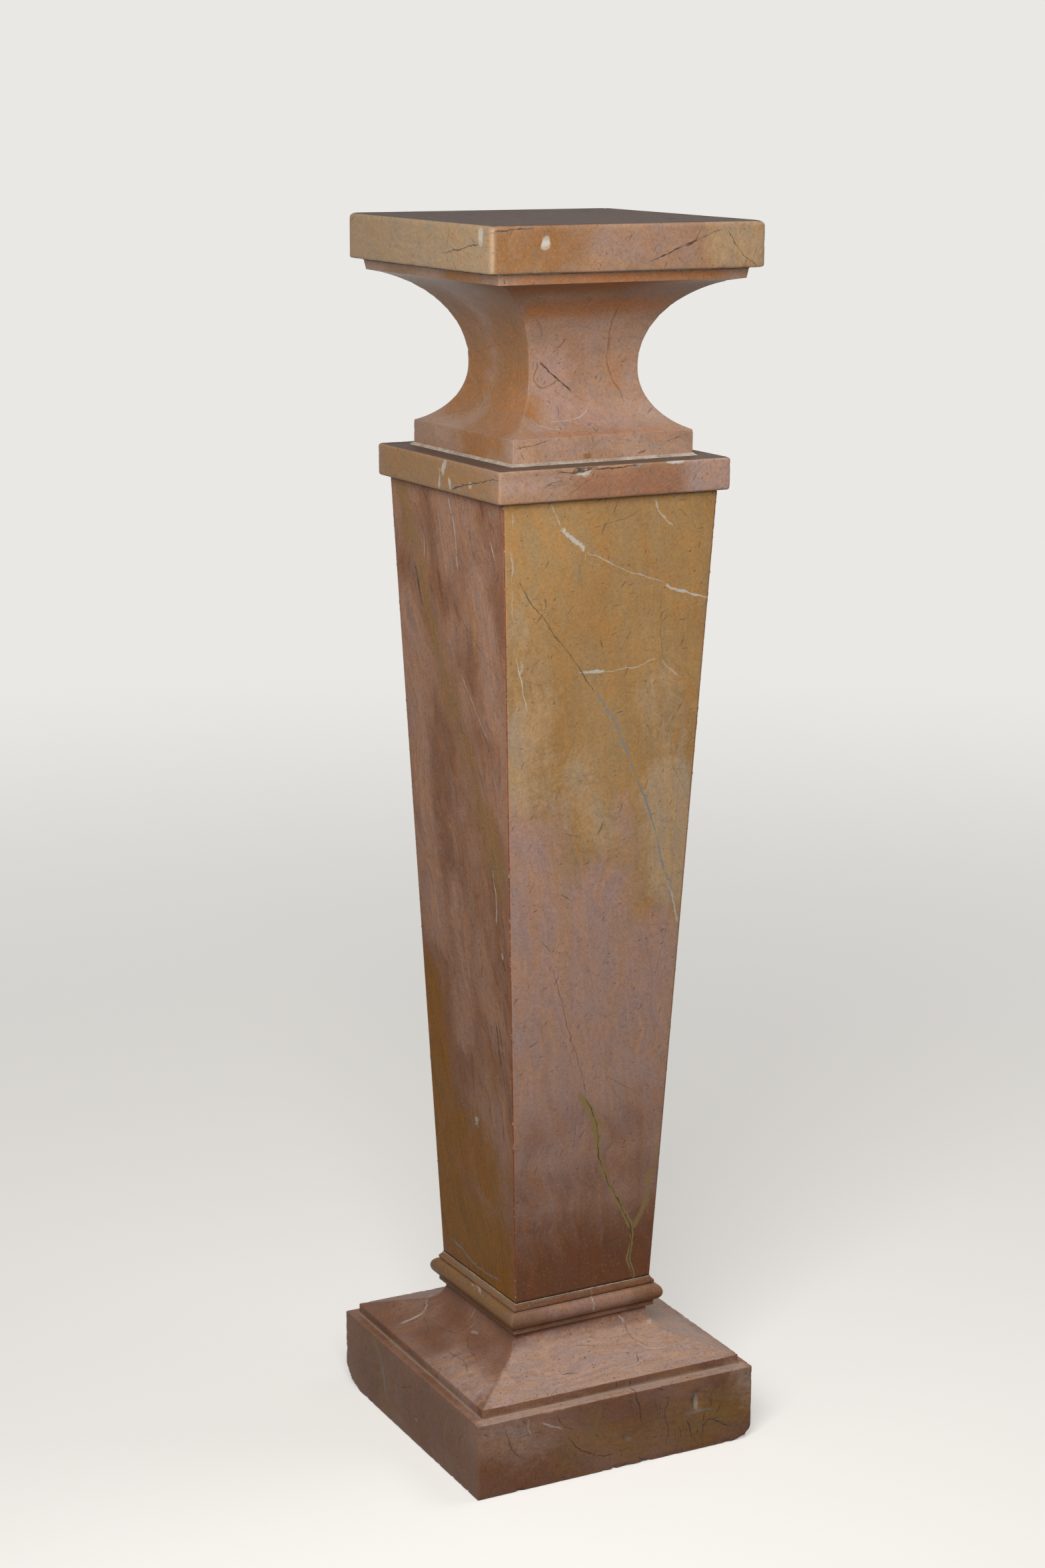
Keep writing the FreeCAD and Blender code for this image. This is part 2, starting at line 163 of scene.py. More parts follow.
    # Unevenness and chips only ever take stone away.
    normal = add(tree, "GeometryNodeInputNormal")
    seed = add(tree, "ShaderNodeCombineXYZ", [given["Seed"]])
    seat = add(tree, "ShaderNodeVectorMath", [position, seed], operation="ADD")
    swell_scale = add(tree, "ShaderNodeMath", [1.0, given["Unevenness length"]],
                      operation="DIVIDE")
    swell = add(tree, "ShaderNodeTexNoise", {"Vector": seat, "Scale": swell_scale, "Detail": 3.0})
    swell = add(tree, "ShaderNodeMath", [swell, given["Unevenness"]], operation="MULTIPLY")
    knock_scale = add(tree, "ShaderNodeMath", [1.0, given["Chip length"]], operation="DIVIDE")
    knocks = add(tree, "ShaderNodeTexNoise", {
        "Vector": seat, "Scale": knock_scale, "Detail": 4.0, "Roughness": 0.6})
    knocks = add(tree, "ShaderNodeMapRange", [knocks, 0.5, 0.72],
                 interpolation_type="SMOOTHSTEP")
    bare = add(tree, "ShaderNodeMath", [edge, 0.0], operation="MAXIMUM")
    knocks = add(tree, "ShaderNodeMath", [knocks, bare], operation="MULTIPLY")
    knocks = add(tree, "ShaderNodeMath", [knocks, given["Chip depth"]], operation="MULTIPLY")
    taken = add(tree, "ShaderNodeMath", [swell, knocks], operation="ADD")
    taken = add(tree, "ShaderNodeMath", [taken, -1.0], operation="MULTIPLY")
    shift = add(tree, "ShaderNodeVectorMath", {0: normal, "Scale": taken}, operation="SCALE")
    worn = add(tree, "GeometryNodeSetPosition", {"Geometry": welded, "Offset": shift})
    smooth = add(tree, "GeometryNodeSetShadeSmooth", [worn])
    real = add(tree, "GeometryNodeRealizeInstances", [smooth])
    stone = add(tree, "GeometryNodeSetMaterial", {"Geometry": real, "Material": given["Stone"]})
    add(tree, "NodeGroupOutput", [stone])
    return tree


run_round_square = moulding_tree()


def arc(centre, start, end, steps=24):
    """Points of an arc about centre from start to end, the short way, as places of a section."""
    first = math.atan2(start[1] - centre[1], start[0] - centre[0])
    turn = math.atan2(end[1] - centre[1], end[0] - centre[0]) - first
    turn = (turn + math.pi) % (2 * math.pi) - math.pi
    radius = math.dist(centre, start)
    angles = [first + turn * i / steps for i in range(steps + 1)]
    return [(centre[0] + radius * math.cos(a), centre[1] + radius * math.sin(a), 0, 0)
            for a in angles]


ROUND_TO = 23.0                 # plan is a circle at the rod's hole and recesses
SQUARE_FROM = 53.0              # and a true square from this half width outwards


def drawn_section(places, spacing, edge_reach=2.5):
    """A closed section, densely: rows of (half width, roundness, level) and their edge marks.

    Places are (half width, level, easing radius, edge mark).

    An edge mark above 0 is an exposed arris and how easily it chips, below 0 an inner corner.
    """
    points, marks = [], []
    last = len(places) - 1
    for i, (x, z, radius, mark) in enumerate(places):
        here = np.array((x, z), float)
        if radius > 0 and 0 < i < last:
            back = np.array(places[i - 1][:2], float) - here
            ahead = np.array(places[i + 1][:2], float) - here
            back /= np.linalg.norm(back)
            ahead /= np.linalg.norm(ahead)
            half_angle = math.acos(float(np.clip(back @ ahead, -1, 1))) / 2
            cut = radius / math.tan(half_angle)
            middle = (back + ahead) / np.linalg.norm(back + ahead)
            centre = here + middle * radius / math.sin(half_angle)
            eased = arc(centre, here + back * cut, here + ahead * cut, 4)
            points += [place[:2] for place in eased]
            if mark:
                marks.append((here, mark))
        else:
            points.append((x, z))
            if mark:
                marks.append((here, mark))
    dense = []
    for start, end in zip(points, points[1:]):
        steps = max(1, math.ceil(math.dist(start, end) / spacing))
        hidden = min(start[0], end[0]) < ROUND_TO + 1
        steps = min(steps, 12) if hidden else steps
        for k in range(steps):
            dense.append(np.array(start) + (np.array(end) - np.array(start)) * k / steps)
    dense.append(np.array(points[-1]))
    dense = np.array(dense)
    roundness = np.clip((SQUARE_FROM - dense[:, 0]) / (SQUARE_FROM - ROUND_TO), 0, 1)
    edge = np.zeros(len(dense))
    for place, mark in marks:
        near = mark * np.exp(-(np.linalg.norm(dense - place, axis=1) / edge_reach) ** 2)
        edge = np.where(np.abs(near) > np.abs(edge), near, edge)
    return np.column_stack([dense[:, 0] * MM, roundness, dense[:, 1] * MM]), edge


def square_plan(places_a_side, crowding):
    """A unit square from its left front corner round, with places crowded near the arrises.

    Returns each place, the way the surface leans there, and its share of the way from the
    arris. Each corner has four places that turn from one side's lean to the next one's.
    """
    share = np.linspace(0, 1, places_a_side + 1)
    share = (1 - crowding) * share + crowding * (0.5 - 0.5 * np.cos(math.pi * share))
    along = 2 * share - 1
    side = np.column_stack([along, -np.ones(len(along)), np.zeros(len(along))])
    lean = np.tile((0.0, -1.0, 0.0), (len(along), 1))
    turns = np.radians((22.5, 45.0, 67.5))
    corner = np.tile((1.0, -1.0, 0.0), (3, 1))
    corner_lean = np.column_stack([np.sin(turns), -np.cos(turns), np.zeros(3)])
    places, leans = np.vstack([side, corner]), np.vstack([lean, corner_lean])
    from_arris = np.concatenate([1 - np.abs(along), np.zeros(3)])
    all_places, all_leans = [], []
    for quarter in range(4):
        turn = np.array(Matrix.Rotation(quarter * math.pi / 2, 3, "Z"))
        all_places.append(places @ turn.T)
        all_leans.append(leans @ turn.T)
    all_places = np.vstack(all_places + [places[:1]])
    all_leans = np.vstack(all_leans + [leans[:1]])
    return all_places, all_leans, np.concatenate([np.tile(from_arris, 4), from_arris[:1]])


def worked_piece(drawn, group, given, turn):
    """What the group makes of a drawn mesh, as a piece of its own, turned by so many degrees."""
    piece = bpy.data.objects.new(drawn.name, drawn)
    bpy.context.scene.collection.objects.link(piece)
    tool = piece.modifiers.new("tool", "NODES")
    tool.node_group = group
    for item in group.interface.items_tree:
        if item.in_out == "INPUT" and item.name in given:
            tool[item.identifier] = given[item.name]
    view_layer = bpy.context.evaluated_depsgraph_get()
    made = bpy.data.meshes.new_from_object(piece.evaluated_get(view_layer))
    piece.modifiers.clear()
    piece.data = made
    made.name = piece.name
    bpy.data.meshes.remove(drawn)
    made.transform(Matrix.Rotation(math.radians(turn), 4, "Z"))
    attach(piece, "root")
    return piece


PLACES_A_SIDE, CROWDING = 108, 0.5
UNEVENNESS_LENGTH = 60.0


def moulded_block(name, section, stone, seed, easing=1.2, unevenness=0.25, chip_depth=0.7,
                  chip_length=9.0, turn=0.0):
    """One course cut from its section, standing in its place, turned by the mason's error."""
    rows, row_edges = section
    plan, leans, from_arris = square_plan(PLACES_A_SIDE, CROWDING)
    mesh = bpy.data.meshes.new(name)
    chains = [(i, i + 1) for i in range(len(rows) + len(plan) - 1) if i != len(rows) - 1]
    mesh.from_pydata(np.vstack([rows, plan]).tolist(), chains, [])
    edge = mesh.attributes.new("edge", "FLOAT", "POINT")
    edge.data.foreach_set("value", np.concatenate([row_edges, from_arris]))
    lean = mesh.attributes.new("lean", "FLOAT_VECTOR", "POINT")
    lean.data.foreach_set("vector", np.vstack([np.zeros(rows.shape), leans]).ravel())
    return worked_piece(mesh, run_round_square, {
        "Section places": len(rows), "Arris easing": easing * MM, "Unevenness": unevenness * MM,
        "Unevenness length": UNEVENNESS_LENGTH * MM, "Chip depth": chip_depth * MM,
        "Chip length": chip_length * MM, "Seed": float(seed), "Stone": stone}, turn)


def smooth_line(points):
    """A drawn line rounded by cutting its corners twice, with its two ends kept."""
    line = np.array(points, float)
    for _ in range(2 if len(line) > 2 else 0):
        near = line[:-1] * 0.75 + line[1:] * 0.25
        far = line[:-1] * 0.25 + line[1:] * 0.75
        line = np.vstack([line[:1], np.stack([near, far], 1).reshape(-1, 3)[1:-1], line[-1:]])
    return line


VEIN_KINDS = ("pale", "grey", "dark", "warm")
VEIN_REACH = 8.0                # mm either side of a vein within which its place is kept
END_FADE = 5.0                  # mm over which a vein dies out at its ends


def lay_veins(piece, **veins):
    """Keeps, at each point of the surface, where the nearest vein of each kind runs.

    A vein is a width, a strength and the places along it, in mm. Each kind gets an attribute
    whose x is the signed distance to the vein, y its strength there and z its half width. A vein
    over 3 mm wide has no sign, so that its ends stay round.
    """
    mesh = piece.data
    count = len(mesh.vertices)
    places, normals = np.empty(count * 3), np.empty(count * 3)
    mesh.vertices.foreach_get("co", places)
    mesh.vertices.foreach_get("normal", normals)
    places, normals = places.reshape(-1, 3) / MM, normals.reshape(-1, 3)
    for kind in VEIN_KINDS:
        nearest = np.full(count, VEIN_REACH)
        field = np.tile((VEIN_REACH, 0.0, 1.0), (count, 1))
        for width, strength, *points in veins.get(kind, ()):
            line = smooth_line(points)
            reach = VEIN_REACH + width
            low, high = line.min(0) - reach, line.max(0) + reach
            close = np.where(((places > low) & (places < high)).all(1))[0]
            lengths = np.linalg.norm(np.diff(line, axis=0), axis=1)
            total, before = lengths.sum(), 0.0
            fade = min(END_FADE, total / 3)
            for start, end, length in zip(line, line[1:], lengths):
                run = (end - start) / length
                offset = places[close] - start
                share = np.clip(offset @ run, 0, length)
                across = offset - share[:, None] * run
                distance = np.linalg.norm(across, axis=1)
                better = distance < nearest[close]
                chosen = close[better]
                side = np.sign((across * np.cross(normals[close], run)).sum(1))[better]
                side = np.ones(side.shape) if width > 3 else side
                along = before + share[better]
                ends = np.minimum(along, total - along) / fade
                fading = np.clip(ends + (0.6 if width > 2 else 0.0), 0, 1)
                margin = np.clip((VEIN_REACH - distance[better]) / (VEIN_REACH * 0.3), 0, 1)
                nearest[chosen] = distance[better]
                field[chosen, 0] = distance[better] * np.where(side == 0, 1, side)
                field[chosen, 1] = strength * fading * margin
                field[chosen, 2] = width / 2
                before += length
        attribute = mesh.attributes.new("vein_" + kind, "FLOAT_VECTOR", "POINT")
        attribute.data.foreach_set("vector", field.ravel())


def lay_tints(piece, tints):
    """Keeps how strongly each of three tints shows, from soft strokes laid on the surface.

    A stroke is (tint, strength, radius, line), with the way the stone must face if only one
    side of the block has it.
    """
    mesh = piece.data
    count = len(mesh.vertices)
    places, normals = np.empty(count * 3), np.empty(count * 3)
    mesh.vertices.foreach_get("co", places)
    mesh.vertices.foreach_get("normal", normals)
    places, normals = places.reshape(-1, 3) / MM, normals.reshape(-1, 3)
    field = np.zeros((count, 3))
    for tint, strength, radius, points, *facing in tints:
        line = np.array(points, float)
        if len(line) == 1:
            line = np.vstack([line, line + 0.01])
        distance = np.full(count, 1e9)
        for start, end in zip(line, line[1:]):
            run = end - start
            share = np.clip((places - start) @ run / (run @ run), 0, 1)
            distance = np.minimum(distance, np.linalg.norm(
                places - start - share[:, None] * run, axis=1))
        shown = strength * np.exp(-(distance / radius) ** 2)
        if facing:
            shown *= np.clip((normals @ np.array(facing[0]) - 0.1) / 0.25, 0, 1)
        field[:, tint] = np.maximum(field[:, tint], shown)
    attribute = mesh.attributes.new("tints", "FLOAT_VECTOR", "POINT")
    attribute.data.foreach_set("vector", field.ravel())


def marble(name, pale, body, deep, bedding, seed, bed_across, bed_along, streaks, cloud, tints,
           polish, arris, arris_shows=0.3, vein_tones=None, cracks=0.3, dust="#a1917f",
           dust_shows=0.7, top_shade_tone=None, rags=(0.9, 0.6, 0.45), shine=0.12, banding=0.1):
    """Veined limestone marble, rubbed to a soft polish and waxed.

    Its colour is laid down in folded beds, so every pattern follows the same folded places.
    Bed, cloud and vein sizes are in mm. Calcite has an IOR near 1.5; old wax and fine scratches
    leave it less shine than a fresh polish.
    The colour given for surfaces that face up is painted over them as shade, darker and greyer,
    and makes them rougher; rags is how ragged the edge of each tint is; banding is how much
    lighter and darker the beds are.
    """
    tones = {"pale": "#c6beb2", "grey": "#8e8983", "dark": "#57463a", "warm": "#a68b50"}
    tones.update(vein_tones or {})
    material = bpy.data.materials.new(name)
    tree = empty_tree(material)
    where = add(tree, "ShaderNodeTexCoord").outputs["Object"]
    placed = add(tree, "ShaderNodeMapping", {
        "Vector": where, "Location": (0.37 * seed, 0.21 * seed, 0.11 * seed),
        "Rotation": [math.radians(a) for a in bedding]})
    swirl = add(tree, "ShaderNodeTexNoise", {
        "Vector": placed, "Scale": 1000 / 95, "Detail": 2.0}).outputs["Color"]
    swirl = add(tree, "ShaderNodeVectorMath", [swirl, (0.5, 0.5, 0.5)], operation="SUBTRACT")
    swirl = add(tree, "ShaderNodeVectorMath", {0: swirl, "Scale": 0.045}, operation="SCALE")
    folded = add(tree, "ShaderNodeVectorMath", [placed, swirl], operation="ADD")

    def folded_noise(across, along, detail, roughness, start=(0, 0, 0)):
        """A noise in the folded beds, of so many mm across them and along them."""
        stretched = add(tree, "ShaderNodeMapping", {
            "Vector": folded, "Location": start,
            "Scale": (1000 / across, 1000 / across, 1000 / along)})
        return add(tree, "ShaderNodeTexNoise", {
            "Vector": stretched, "Scale": 1.0, "Detail": detail, "Roughness": roughness})

    # What lies over the plain stone is listed as coats, each how much it shows, its colour and
    # how it is laid on, and laid on in that order at the end.
    coats = []

    # Clouds of paler and deeper stone, then the thin beds that streak it.
    clouds = folded_noise(cloud, 2 * cloud, 5.0, 0.6)
    clouds = add(tree, "ShaderNodeMapRange", [clouds, 0.38, 0.62], interpolation_type="SMOOTHSTEP")
    beds = folded_noise(bed_across, bed_along, 5.0, 0.65)
    for tone, low, high, most in ((deep, 0.5, 0.76, streaks), (pale, 0.46, 0.24, streaks * 0.7)):
        share = add(tree, "ShaderNodeMapRange", [beds, low, high, 0.0, most])
        coats.append((share, colour(tone), "MIX"))

    # Patches of other colour where this block has them, ragged along the bed and at their edges.
    mottle = add(tree, "ShaderNodeTexNoise", {
        "Vector": folded, "Scale": 1000 / 7, "Detail": 6.0, "Roughness": 0.7})
    patch = folded_noise(22, 60, 5.0, 0.6)
    ragged = add(tree, "ShaderNodeMath", [mottle, 0.7, patch], operation="MULTIPLY_ADD")
    ragged = add(tree, "ShaderNodeMath", [ragged, 0.85], operation="SUBTRACT")
    tinted = add(tree, "ShaderNodeAttribute", attribute_name="tints")
    tinted = add(tree, "ShaderNodeSeparateXYZ", [tinted.outputs["Vector"]])
    for i, tone in enumerate(tints):
        share = add(tree, "ShaderNodeMath", [ragged, rags[i], tinted.outputs[i]],
                    operation="MULTIPLY_ADD")
        share = add(tree, "ShaderNodeMapRange", [share, 0.2, 0.8, 0.0, 0.95],
                    interpolation_type="SMOOTHSTEP")
        coats.append((share, colour(tone), "MIX"))

    # Ironstain warms the stone here and there, a few centimetres at a time.
    stain = folded_noise(14, 40, 6.0, 0.65, start=(3.1, 1.7, 5.3))
    stain = add(tree, "ShaderNodeMapRange", [stain, 0.35, 0.65])
    stain = add(tree, "ShaderNodeMix", {
        0: stain, 6: (1.09, 0.99, 0.84, 1.0), 7: (0.93, 0.98, 1.07, 1.0)}, data_type="RGBA")
    coats.append((1.0, stain, "MULTIPLY"))

    # Mottling of a few millimetres, and crystals and flecks of one or two, some pale, some deep.
    grain = add(tree, "ShaderNodeTexNoise", {
        "Vector": placed, "Scale": 1000 / 2.4, "Detail": 3.0, "Roughness": 0.7})
    for pattern, low, high in ((beds, 1 - banding, 1 + banding), (mottle, 0.92, 1.07),
                               (grain, 0.86, 1.14)):
        shade = add(tree, "ShaderNodeMapRange", [pattern, 0.3, 0.7, low, high])
        coats.append((1.0, shade, "MULTIPLY"))
    for tone, low, high in ((pale, 0.6, 0.74), (deep, 0.38, 0.27)):
        share = add(tree, "ShaderNodeMapRange", [grain, low, high, 0.0, 0.5])
        coats.append((share, colour(tone), "MIX"))

    # Hair cracks between old fractures, each showing only here and there, and short dark flaws.
    broken = add(tree, "ShaderNodeTexVoronoi", {"Vector": placed, "Scale": 1000 / 70},
                 feature="DISTANCE_TO_EDGE")
    line = add(tree, "ShaderNodeMapRange", [broken, 0.001, 0.006, cracks, 0.0])
    healed = add(tree, "ShaderNodeTexNoise", {"Vector": placed, "Scale": 1000 / 30})
    healed = add(tree, "ShaderNodeMapRange", [healed, 0.52, 0.62])
    line = add(tree, "ShaderNodeMath", [line, healed], operation="MULTIPLY")
    coats.append((line, colour(tones["dark"]), "MIX"))
    for turn, across, along in (((0.5, 0.3, 0.9), 5.0, 60.0), ((1.2, 0.8, 0.2), 4.0, 26.0),
                                ((0.9, 1.4, 0.6), 4.5, 40.0)):
        flaws = add(tree, "ShaderNodeMapping", {
            "Vector": folded, "Rotation": turn,
            "Scale": (across * MM, across * MM, along * MM)}, vector_type="TEXTURE")
        flaws = add(tree, "ShaderNodeTexVoronoi", {"Vector": flaws, "Scale": 1.0})
        fleck = add(tree, "ShaderNodeMapRange", [flaws.outputs["Distance"], 0.08, 0.14, 1.0, 0.0])
        picked = add(tree, "ShaderNodeSeparateColor", [flaws.outputs["Color"]])
        picked = add(tree, "ShaderNodeMath", [picked, 0.4], operation="GREATER_THAN")
        fleck = add(tree, "ShaderNodeMath", [fleck, picked], operation="MULTIPLY")
        fleck = add(tree, "ShaderNodeMath", [fleck, cracks * 2], operation="MULTIPLY")
        coats.append((fleck, colour(tones["dark"]), "MIX"))

    # Veins where they were laid, wandering a little and thick and thin by turns.
    wander = add(tree, "ShaderNodeTexNoise", {
        "Vector": placed, "Scale": 1000 / 11, "Detail": 5.0, "Roughness": 0.6})
    wander = add(tree, "ShaderNodeMapRange", [wander, 0.3, 0.7, -1.1, 1.1])
    swelling = add(tree, "ShaderNodeTexNoise", {
        "Vector": placed, "Scale": 1000 / 9, "Detail": 3.0})
    swelling = add(tree, "ShaderNodeMapRange", [swelling, 0.35, 0.65, -0.6, 0.5])
    thinned = add(tree, "ShaderNodeMapRange", [mottle, 0.3, 0.5, 0.55, 1.0])
    sunk = line
    for kind in ("warm", "grey", "pale", "dark"):
        vein = add(tree, "ShaderNodeAttribute", attribute_name="vein_" + kind)
        vein = add(tree, "ShaderNodeSeparateXYZ", [vein.outputs["Vector"]]).outputs
        from_vein = add(tree, "ShaderNodeMath", [vein["X"], wander], operation="ADD")
        from_vein = add(tree, "ShaderNodeMath", [from_vein], operation="ABSOLUTE")
        swell = add(tree, "ShaderNodeMath", [vein["Z"], 1.0], operation="MINIMUM")
        wide = add(tree, "ShaderNodeMath", [swell, swelling, vein["Z"]], operation="MULTIPLY_ADD")
        from_vein = add(tree, "ShaderNodeMath", [from_vein, wide], operation="DIVIDE")
        share = add(tree, "ShaderNodeMapRange", [from_vein, 0.7, 1.15, 1.0, 0.0],
                    interpolation_type="SMOOTHSTEP")
        share = add(tree, "ShaderNodeMath", [share, vein["Y"]], operation="MULTIPLY")
        share = add(tree, "ShaderNodeMath", [share, thinned], operation="MULTIPLY")
        coats.append((share, colour(tones[kind]), "MIX"))
        if kind == "dark":
            sunk = add(tree, "ShaderNodeMath", [share, line], operation="MAXIMUM")

    # Rubbed arrises show fresher stone; mortar dust and old wax stay in the inner corners.
    edge = add(tree, "ShaderNodeAttribute", attribute_name="edge").outputs["Fac"]
    rubbed = add(tree, "ShaderNodeMath", [ragged, 1.2, edge], operation="MULTIPLY_ADD")
    rubbed = add(tree, "ShaderNodeMapRange", [rubbed, 0.65, 1.0, 0.0, arris_shows])
    coats.append((rubbed, colour(arris), "MIX"))
    held = add(tree, "ShaderNodeMath", [edge, -1.0], operation="MULTIPLY")
    held = add(tree, "ShaderNodeMath", [ragged, 1.5, held], operation="MULTIPLY_ADD")
    held = add(tree, "ShaderNodeMapRange", [held, 0.35, 0.9, 0.0, dust_shows])
    coats.append((held, colour(dust), "MIX"))
    gloss = add(tree, "ShaderNodeMapRange", [mottle, 0.3, 0.7, polish - 0.06, polish + 0.08])
    gloss = add(tree, "ShaderNodeMath", [held, 0.4, gloss], operation="MULTIPLY_ADD")
    # Surfaces that face up get painted shade: a darker, greyer colour laid over them, and more
    # roughness.
    if top_shade_tone:
        faces = add(tree, "ShaderNodeNewGeometry").outputs["Normal"]
        faces = add(tree, "ShaderNodeSeparateXYZ", [faces]).outputs["Z"]
        worn = add(tree, "ShaderNodeMapRange", [faces, 0.8, 0.97])
        worn = add(tree, "ShaderNodeMath", [worn, 0.85], operation="MULTIPLY")
        coats.append((worn, colour(top_shade_tone), "MIX"))
        gloss = add(tree, "ShaderNodeMath", [worn, 0.3, gloss], operation="MULTIPLY_ADD")

    stone = add(tree, "ShaderNodeMix", {0: clouds, 6: colour(pale), 7: colour(body)},
                data_type="RGBA")
    for share, tone, laid in coats:
        stone = add(tree, "ShaderNodeMix", {0: share, 6: stone, 7: tone}, data_type="RGBA",
                    blend_type=laid)
    relief = add(tree, "ShaderNodeMath", [sunk, -1.0, 1.0], operation="MULTIPLY_ADD")
    relief = add(tree, "ShaderNodeMath", [grain, 0.12, relief], operation="MULTIPLY_ADD")
    relief = add(tree, "ShaderNodeMath", [mottle, 0.25, relief], operation="MULTIPLY_ADD")
    surface = add(tree, "ShaderNodeBump", {
        "Strength": 0.5, "Distance": 0.0004, "Height": relief})
    shader = add(tree, "ShaderNodeBsdfPrincipled", {
        "Base Color": stone, "Roughness": gloss, "Normal": surface, "IOR": 1.5,
        "Specular IOR Level": shine})
    add(tree, "ShaderNodeOutputMaterial", {"Surface": shader})
    return material


def wear_corner(piece, corner, along, up):
    """Wears a lower corner of a block down to a facet, by its reach along the edges and up."""
    mesh = piece.data
    places = np.empty(len(mesh.vertices) * 3)
    mesh.vertices.foreach_get("co", places)
    places = places.reshape(-1, 3) / MM
    slope = np.array((np.sign(corner[0]) / along, np.sign(corner[1]) / along, -1 / up))
    beyond = (places - np.array((corner[0], corner[1], 0.0))) @ slope + 1
    for i in np.where(beyond > 0)[0]:
        pitted = 1.0 + 0.5 * noise.noise(Vector(places[i]) / 6)
        places[i] -= slope * (beyond[i] / (slope @ slope) + 0.5 * pitted / np.linalg.norm(slope))
    mesh.vertices.foreach_set("co", (places * MM).ravel())


def spall(piece, centre, half_width, half_height, depth):
    """Knocks a flake out of the front of a block."""
    for vertex in piece.data.vertices:
        x, y, z = vertex.co / MM
        away = math.hypot((x - centre[0]) / half_width, (z - centre[1]) / half_height)
        away += 0.35 * noise.noise(Vector((x, 0, z)) / 5)
        if away < 1 and y < centre[2]:
            broken = 0.6 + 0.8 * abs(noise.noise(Vector((x, 7, z)) / 4))
            vertex.co.y += depth * min(1, 2.5 * (1 - away)) * broken * MM


ROD_HOLE = 8.0
FOOT_RECESS_DEPTH = 30.0
PLINTH_HALF, PLINTH_TOP = 148.0, 75.0
APRON_HALF, APRON_EDGE_TOP = 138.0, 84.5
NECK_HALF, BASE_TOP = 72.4, 122.7
COVE_RADIUS = 24.0
run = APRON_HALF - NECK_HALF - COVE_RADIUS
rise = BASE_TOP - APRON_EDGE_TOP
slope = math.acos(COVE_RADIUS / math.hypot(rise, run)) - math.atan2(run, rise)
cove_centre = (NECK_HALF + COVE_RADIUS, BASE_TOP)
cove_start = (cove_centre[0] - COVE_RADIUS * math.sin(slope),
              cove_centre[1] - COVE_RADIUS * math.cos(slope))
base_section = drawn_section(
    [(ROD_HOLE, BASE_TOP, 0, 0), (ROD_HOLE, FOOT_RECESS_DEPTH, 0, 0),
     (ROUND_TO, FOOT_RECESS_DEPTH, 0, 0), (ROUND_TO, 0, 0, 0), (PLINTH_HALF, 0, 1.6, 2.4),
     (PLINTH_HALF, PLINTH_TOP, 1.4, 1.0),
     (APRON_HALF, PLINTH_TOP, 0.8, -1.0), (APRON_HALF, APRON_EDGE_TOP, 1.0, 0.9)]
    + arc(cove_centre, cove_start, (NECK_HALF, BASE_TOP))
    + [(ROD_HOLE, BASE_TOP, 0, 0)], spacing=2.4)

FRONT, LEFT = (0, -1, 0), (-1, 0, 0)
# The apron's sides that face up and to the right, where the light from above falls.
APRON_LIT_SIDES = (1.2, 0, 0.5)           # the apron's front and right, not its left nor the plinth
dusty_pink_marble = marble(
    "dusty pink marble, honed and waxed", "#9b7561", "#88604b", "#6b4733", (6, 82, 4), 1,
    bed_across=4, bed_along=60, streaks=0.6, cloud=70,
    tints=("#957144", "#bb9c8d", "#7a4d33"), vein_tones={"warm": "#8f7350"}, polish=0.42,
    cracks=0.45, banding=0.17, arris="#9a7460", arris_shows=0.25)
base = moulded_block("base_block_stone", base_section, dusty_pink_marble, seed=1.0,
                     chip_depth=0.9, chip_length=8)
LOW_FACET, STEEP_FACET = (36.0, 9.0), (19.0, 18.0)      # reach along the edges and up
for corner, scale in (((-PLINTH_HALF, PLINTH_HALF), 1.0), ((PLINTH_HALF, -PLINTH_HALF), 0.6)):
    for along, up in (LOW_FACET, STEEP_FACET):
        wear_corner(base, corner, along * scale, up * scale)
SPALL_DEPTH = 3.5
spall(base, centre=(86.0, 51.0, -PLINTH_HALF + 3), half_width=5.5, half_height=11.0,
      depth=SPALL_DEPTH)
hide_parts("base_block")
